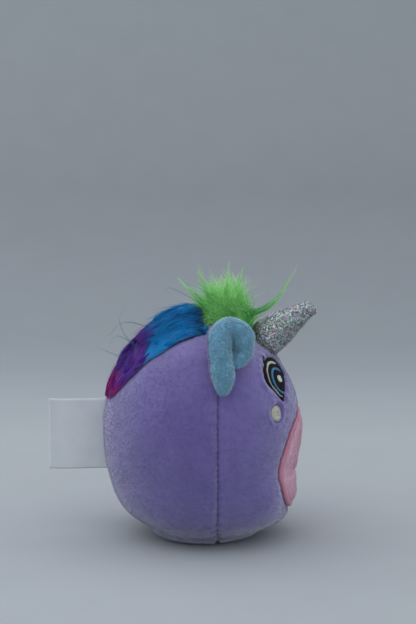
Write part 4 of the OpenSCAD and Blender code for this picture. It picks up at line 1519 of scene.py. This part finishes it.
wisps = long_locks("mane_wisps", teal_hair, 94, [
    [(-6, -6, 90), (-8, 2, 96), (-8, 9, 100), (-7, 13, 101), (-7, 12.5, 99), (-8, 6, 95), (-8, 0, 92)],
    [(-5, -8, 92), (-6, -1, 100), (-6, 7, 103), (-5, 15, 106)],
    [(-19, -2, 84), (-20, 3, 83.5), (-20, 8, 82), (-19.5, 13, 80.5)],
    [(-15, 30, 74), (-14, 35, 76), (-13, 39, 77.5), (-12, 42, 79)],
    [(-20, 24, 79), (-19, 29, 84), (-18, 31, 90), (-17, 29, 94), (-16, 30, 98)],
    [(-14, 20, 86), (-14, 27, 88), (-13, 32, 87), (-12, 35, 83), (-12, 38, 82)],
    [(-17, 26, 80), (-18, 31, 83), (-19, 34, 82), (-20, 35.5, 78)],
], 3, 0.25, 0.045)
given(wisps, "ball")


def backing(name, x_half, y_low, y_high, material, node):
    """Knitted strip that the long pile grows from."""
    xs, ys = np.linspace(-x_half, x_half, 26), np.linspace(y_low, y_high, 30)
    gx, gy = np.meshgrid(xs, ys, indexing="ij")
    gz = np.sqrt(np.maximum(CROWN_R ** 2 - gx ** 2 - gy ** 2, 150))
    d = unit(np.stack([gx, gy, gz], -1))
    hit, hit_n = drop(d * 90 + MIDDLE, -d)
    top = hit + d * 0.45
    ob = fixed_normals(mesh_object(name, top, grid_faces(26, 30), material))
    given(thicken(ob, 0.4), "ball", node)


backing("mane_strip", 12.0, -1.0, 38.0, knit_blue, "mane_backing")
backing("forelock_strip", 8.8, -19.0, -8.3, knit_green, "forelock_backing")


# ---- care label ----

LABEL_Z, LABEL_H, LABEL_END = 41.0, 28.5, 61.2
HALF_FOLD = 0.38
vs = np.linspace(LABEL_Z - LABEL_H / 2, LABEL_Z + LABEL_H / 2, 40)
inner_y = 41.6
leg_y = np.linspace(inner_y, LABEL_END - HALF_FOLD - 0.1, 30)
bend = np.linspace(-math.pi / 2, math.pi / 2, 9)[1:-1]
lx = np.concatenate([np.full(30, -HALF_FOLD), HALF_FOLD * np.sin(bend), np.full(30, HALF_FOLD)])
ly = np.concatenate([leg_y, leg_y[-1] + HALF_FOLD * np.cos(bend), leg_y[::-1]])
gx = lx[:, None] + 0 * vs
gy = ly[:, None] + 0 * vs
gz = 0 * lx[:, None] + vs
sway = 0.9 * np.sin((gy - 41) / 22 * 2.2) * np.sin((gz - 30) / 26 * 2.1) * ((gy - 41) / 22)
gx = gx + sway
gz = gz + 0.35 * (gy - 41) / 22 * np.sin(gy / 5)
ball_y = np.sqrt(FLANK_R ** 2 - (np.minimum(gz, WAIST_Z) - WAIST_Z) ** 2) - (FLANK_R - CROWN_R)
ball_y = np.where(gz > WAIST_Z, np.sqrt(CROWN_R ** 2 - (gz - WAIST_Z) ** 2), ball_y)
gy = gy + (ball_y - 2.9 - inner_y) * np.clip((LABEL_END - gy) / (LABEL_END - inner_y), 0, 1)
label = mesh_object("care_label_ribbon", np.stack([gx, gy, gz], -1), grid_faces(len(lx), 40), ribbon)
fixed_normals(label)
thicken(label, 0.22, 0)
given(label, "label", "care_label")


# ---- the CAD node that stays, with a better material ----

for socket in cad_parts["label_stitch"].material_slots:
    socket.material = white_thread


# ---- floor, backdrop and light ----

# the floor runs to 0.55 m behind the toy, then curves up with a radius of 0.5 m
FLAT_END, CURVE = 0.55, 0.5
curve_turn = np.linspace(0, math.pi / 2, 16)[1:]
sweep_x = np.concatenate([np.linspace(-1.2, FLAT_END, 12), FLAT_END + CURVE * np.sin(curve_turn),
                          np.full(6, FLAT_END + CURVE)])
sweep_z = np.concatenate([np.zeros(12), CURVE - CURVE * np.cos(curve_turn), np.linspace(0.6, 2.2, 6)])
across = np.linspace(-1.8, 1.8, 9)
gx = sweep_x[:, None] + 0 * across
gz = sweep_z[:, None] + 0 * across
gy = across + 0 * sweep_x[:, None]
m = Nodes("backdrop")
axes = m.make("ShaderNodeSeparateXYZ", Vector=m.here).outputs
span = m.maths("MULTIPLY", m.maths("ADD", m.maths("ADD", axes[0], axes[2]), 0.5), 0.4, True)
grain = m.noise(30, 4)
# painted shade on the sweep: its colour darkens from a little behind the toy up onto the curve, and lightens
# again higher up the wall
tone = m.ramp(span, (0.0, rgb(164, 168, 171)), (0.27, rgb(165, 169, 172)), (0.37, rgb(146, 151, 155)),
              (0.6, rgb(127, 131, 135)), (0.8, rgb(140, 145, 148)))
m.bump(grain, 0.03, 0.001)
m.fix(Base_Color=m.times(tone, m.ramp(grain, (0.3, 0.985), (0.7, 1.015))), Roughness=0.65,
      Specular_IOR_Level=0.2)
backdrop = mesh_object("floor_sweep", np.stack([gx, gy, gz], -1) / MM, grid_faces(len(sweep_x), 9),
                       m.material)
fixed_normals(backdrop)

world = bpy.data.worlds.new("studio")
scene.world = world
world.use_nodes = True
world.node_tree.nodes["Background"].inputs[0].default_value = rgb(222, 228, 236)
world.node_tree.nodes["Background"].inputs[1].default_value = 1.06


def area_light(name, location, size, power, colour, look=(0, 0, 0.05)):
    data = bpy.data.lights.new(name, "AREA")
    data.shape = "RECTANGLE"
    data.size, data.size_y = size
    data.energy = power
    data.color = colour[:3]
    ob = linked(name, data)
    ob.location = location
    ob.rotation_euler = (Vector(look) - Vector(location)).to_track_quat("-Z", "Y").to_euler()


area_light("softbox_top", (0.15, 0.4, 0.95), (1.6, 1.6), 7.8, rgb(248, 250, 255))
area_light("softbox_far", (0.35, -0.9, 0.7), (1.0, 1.0), 1.6, rgb(245, 248, 255))
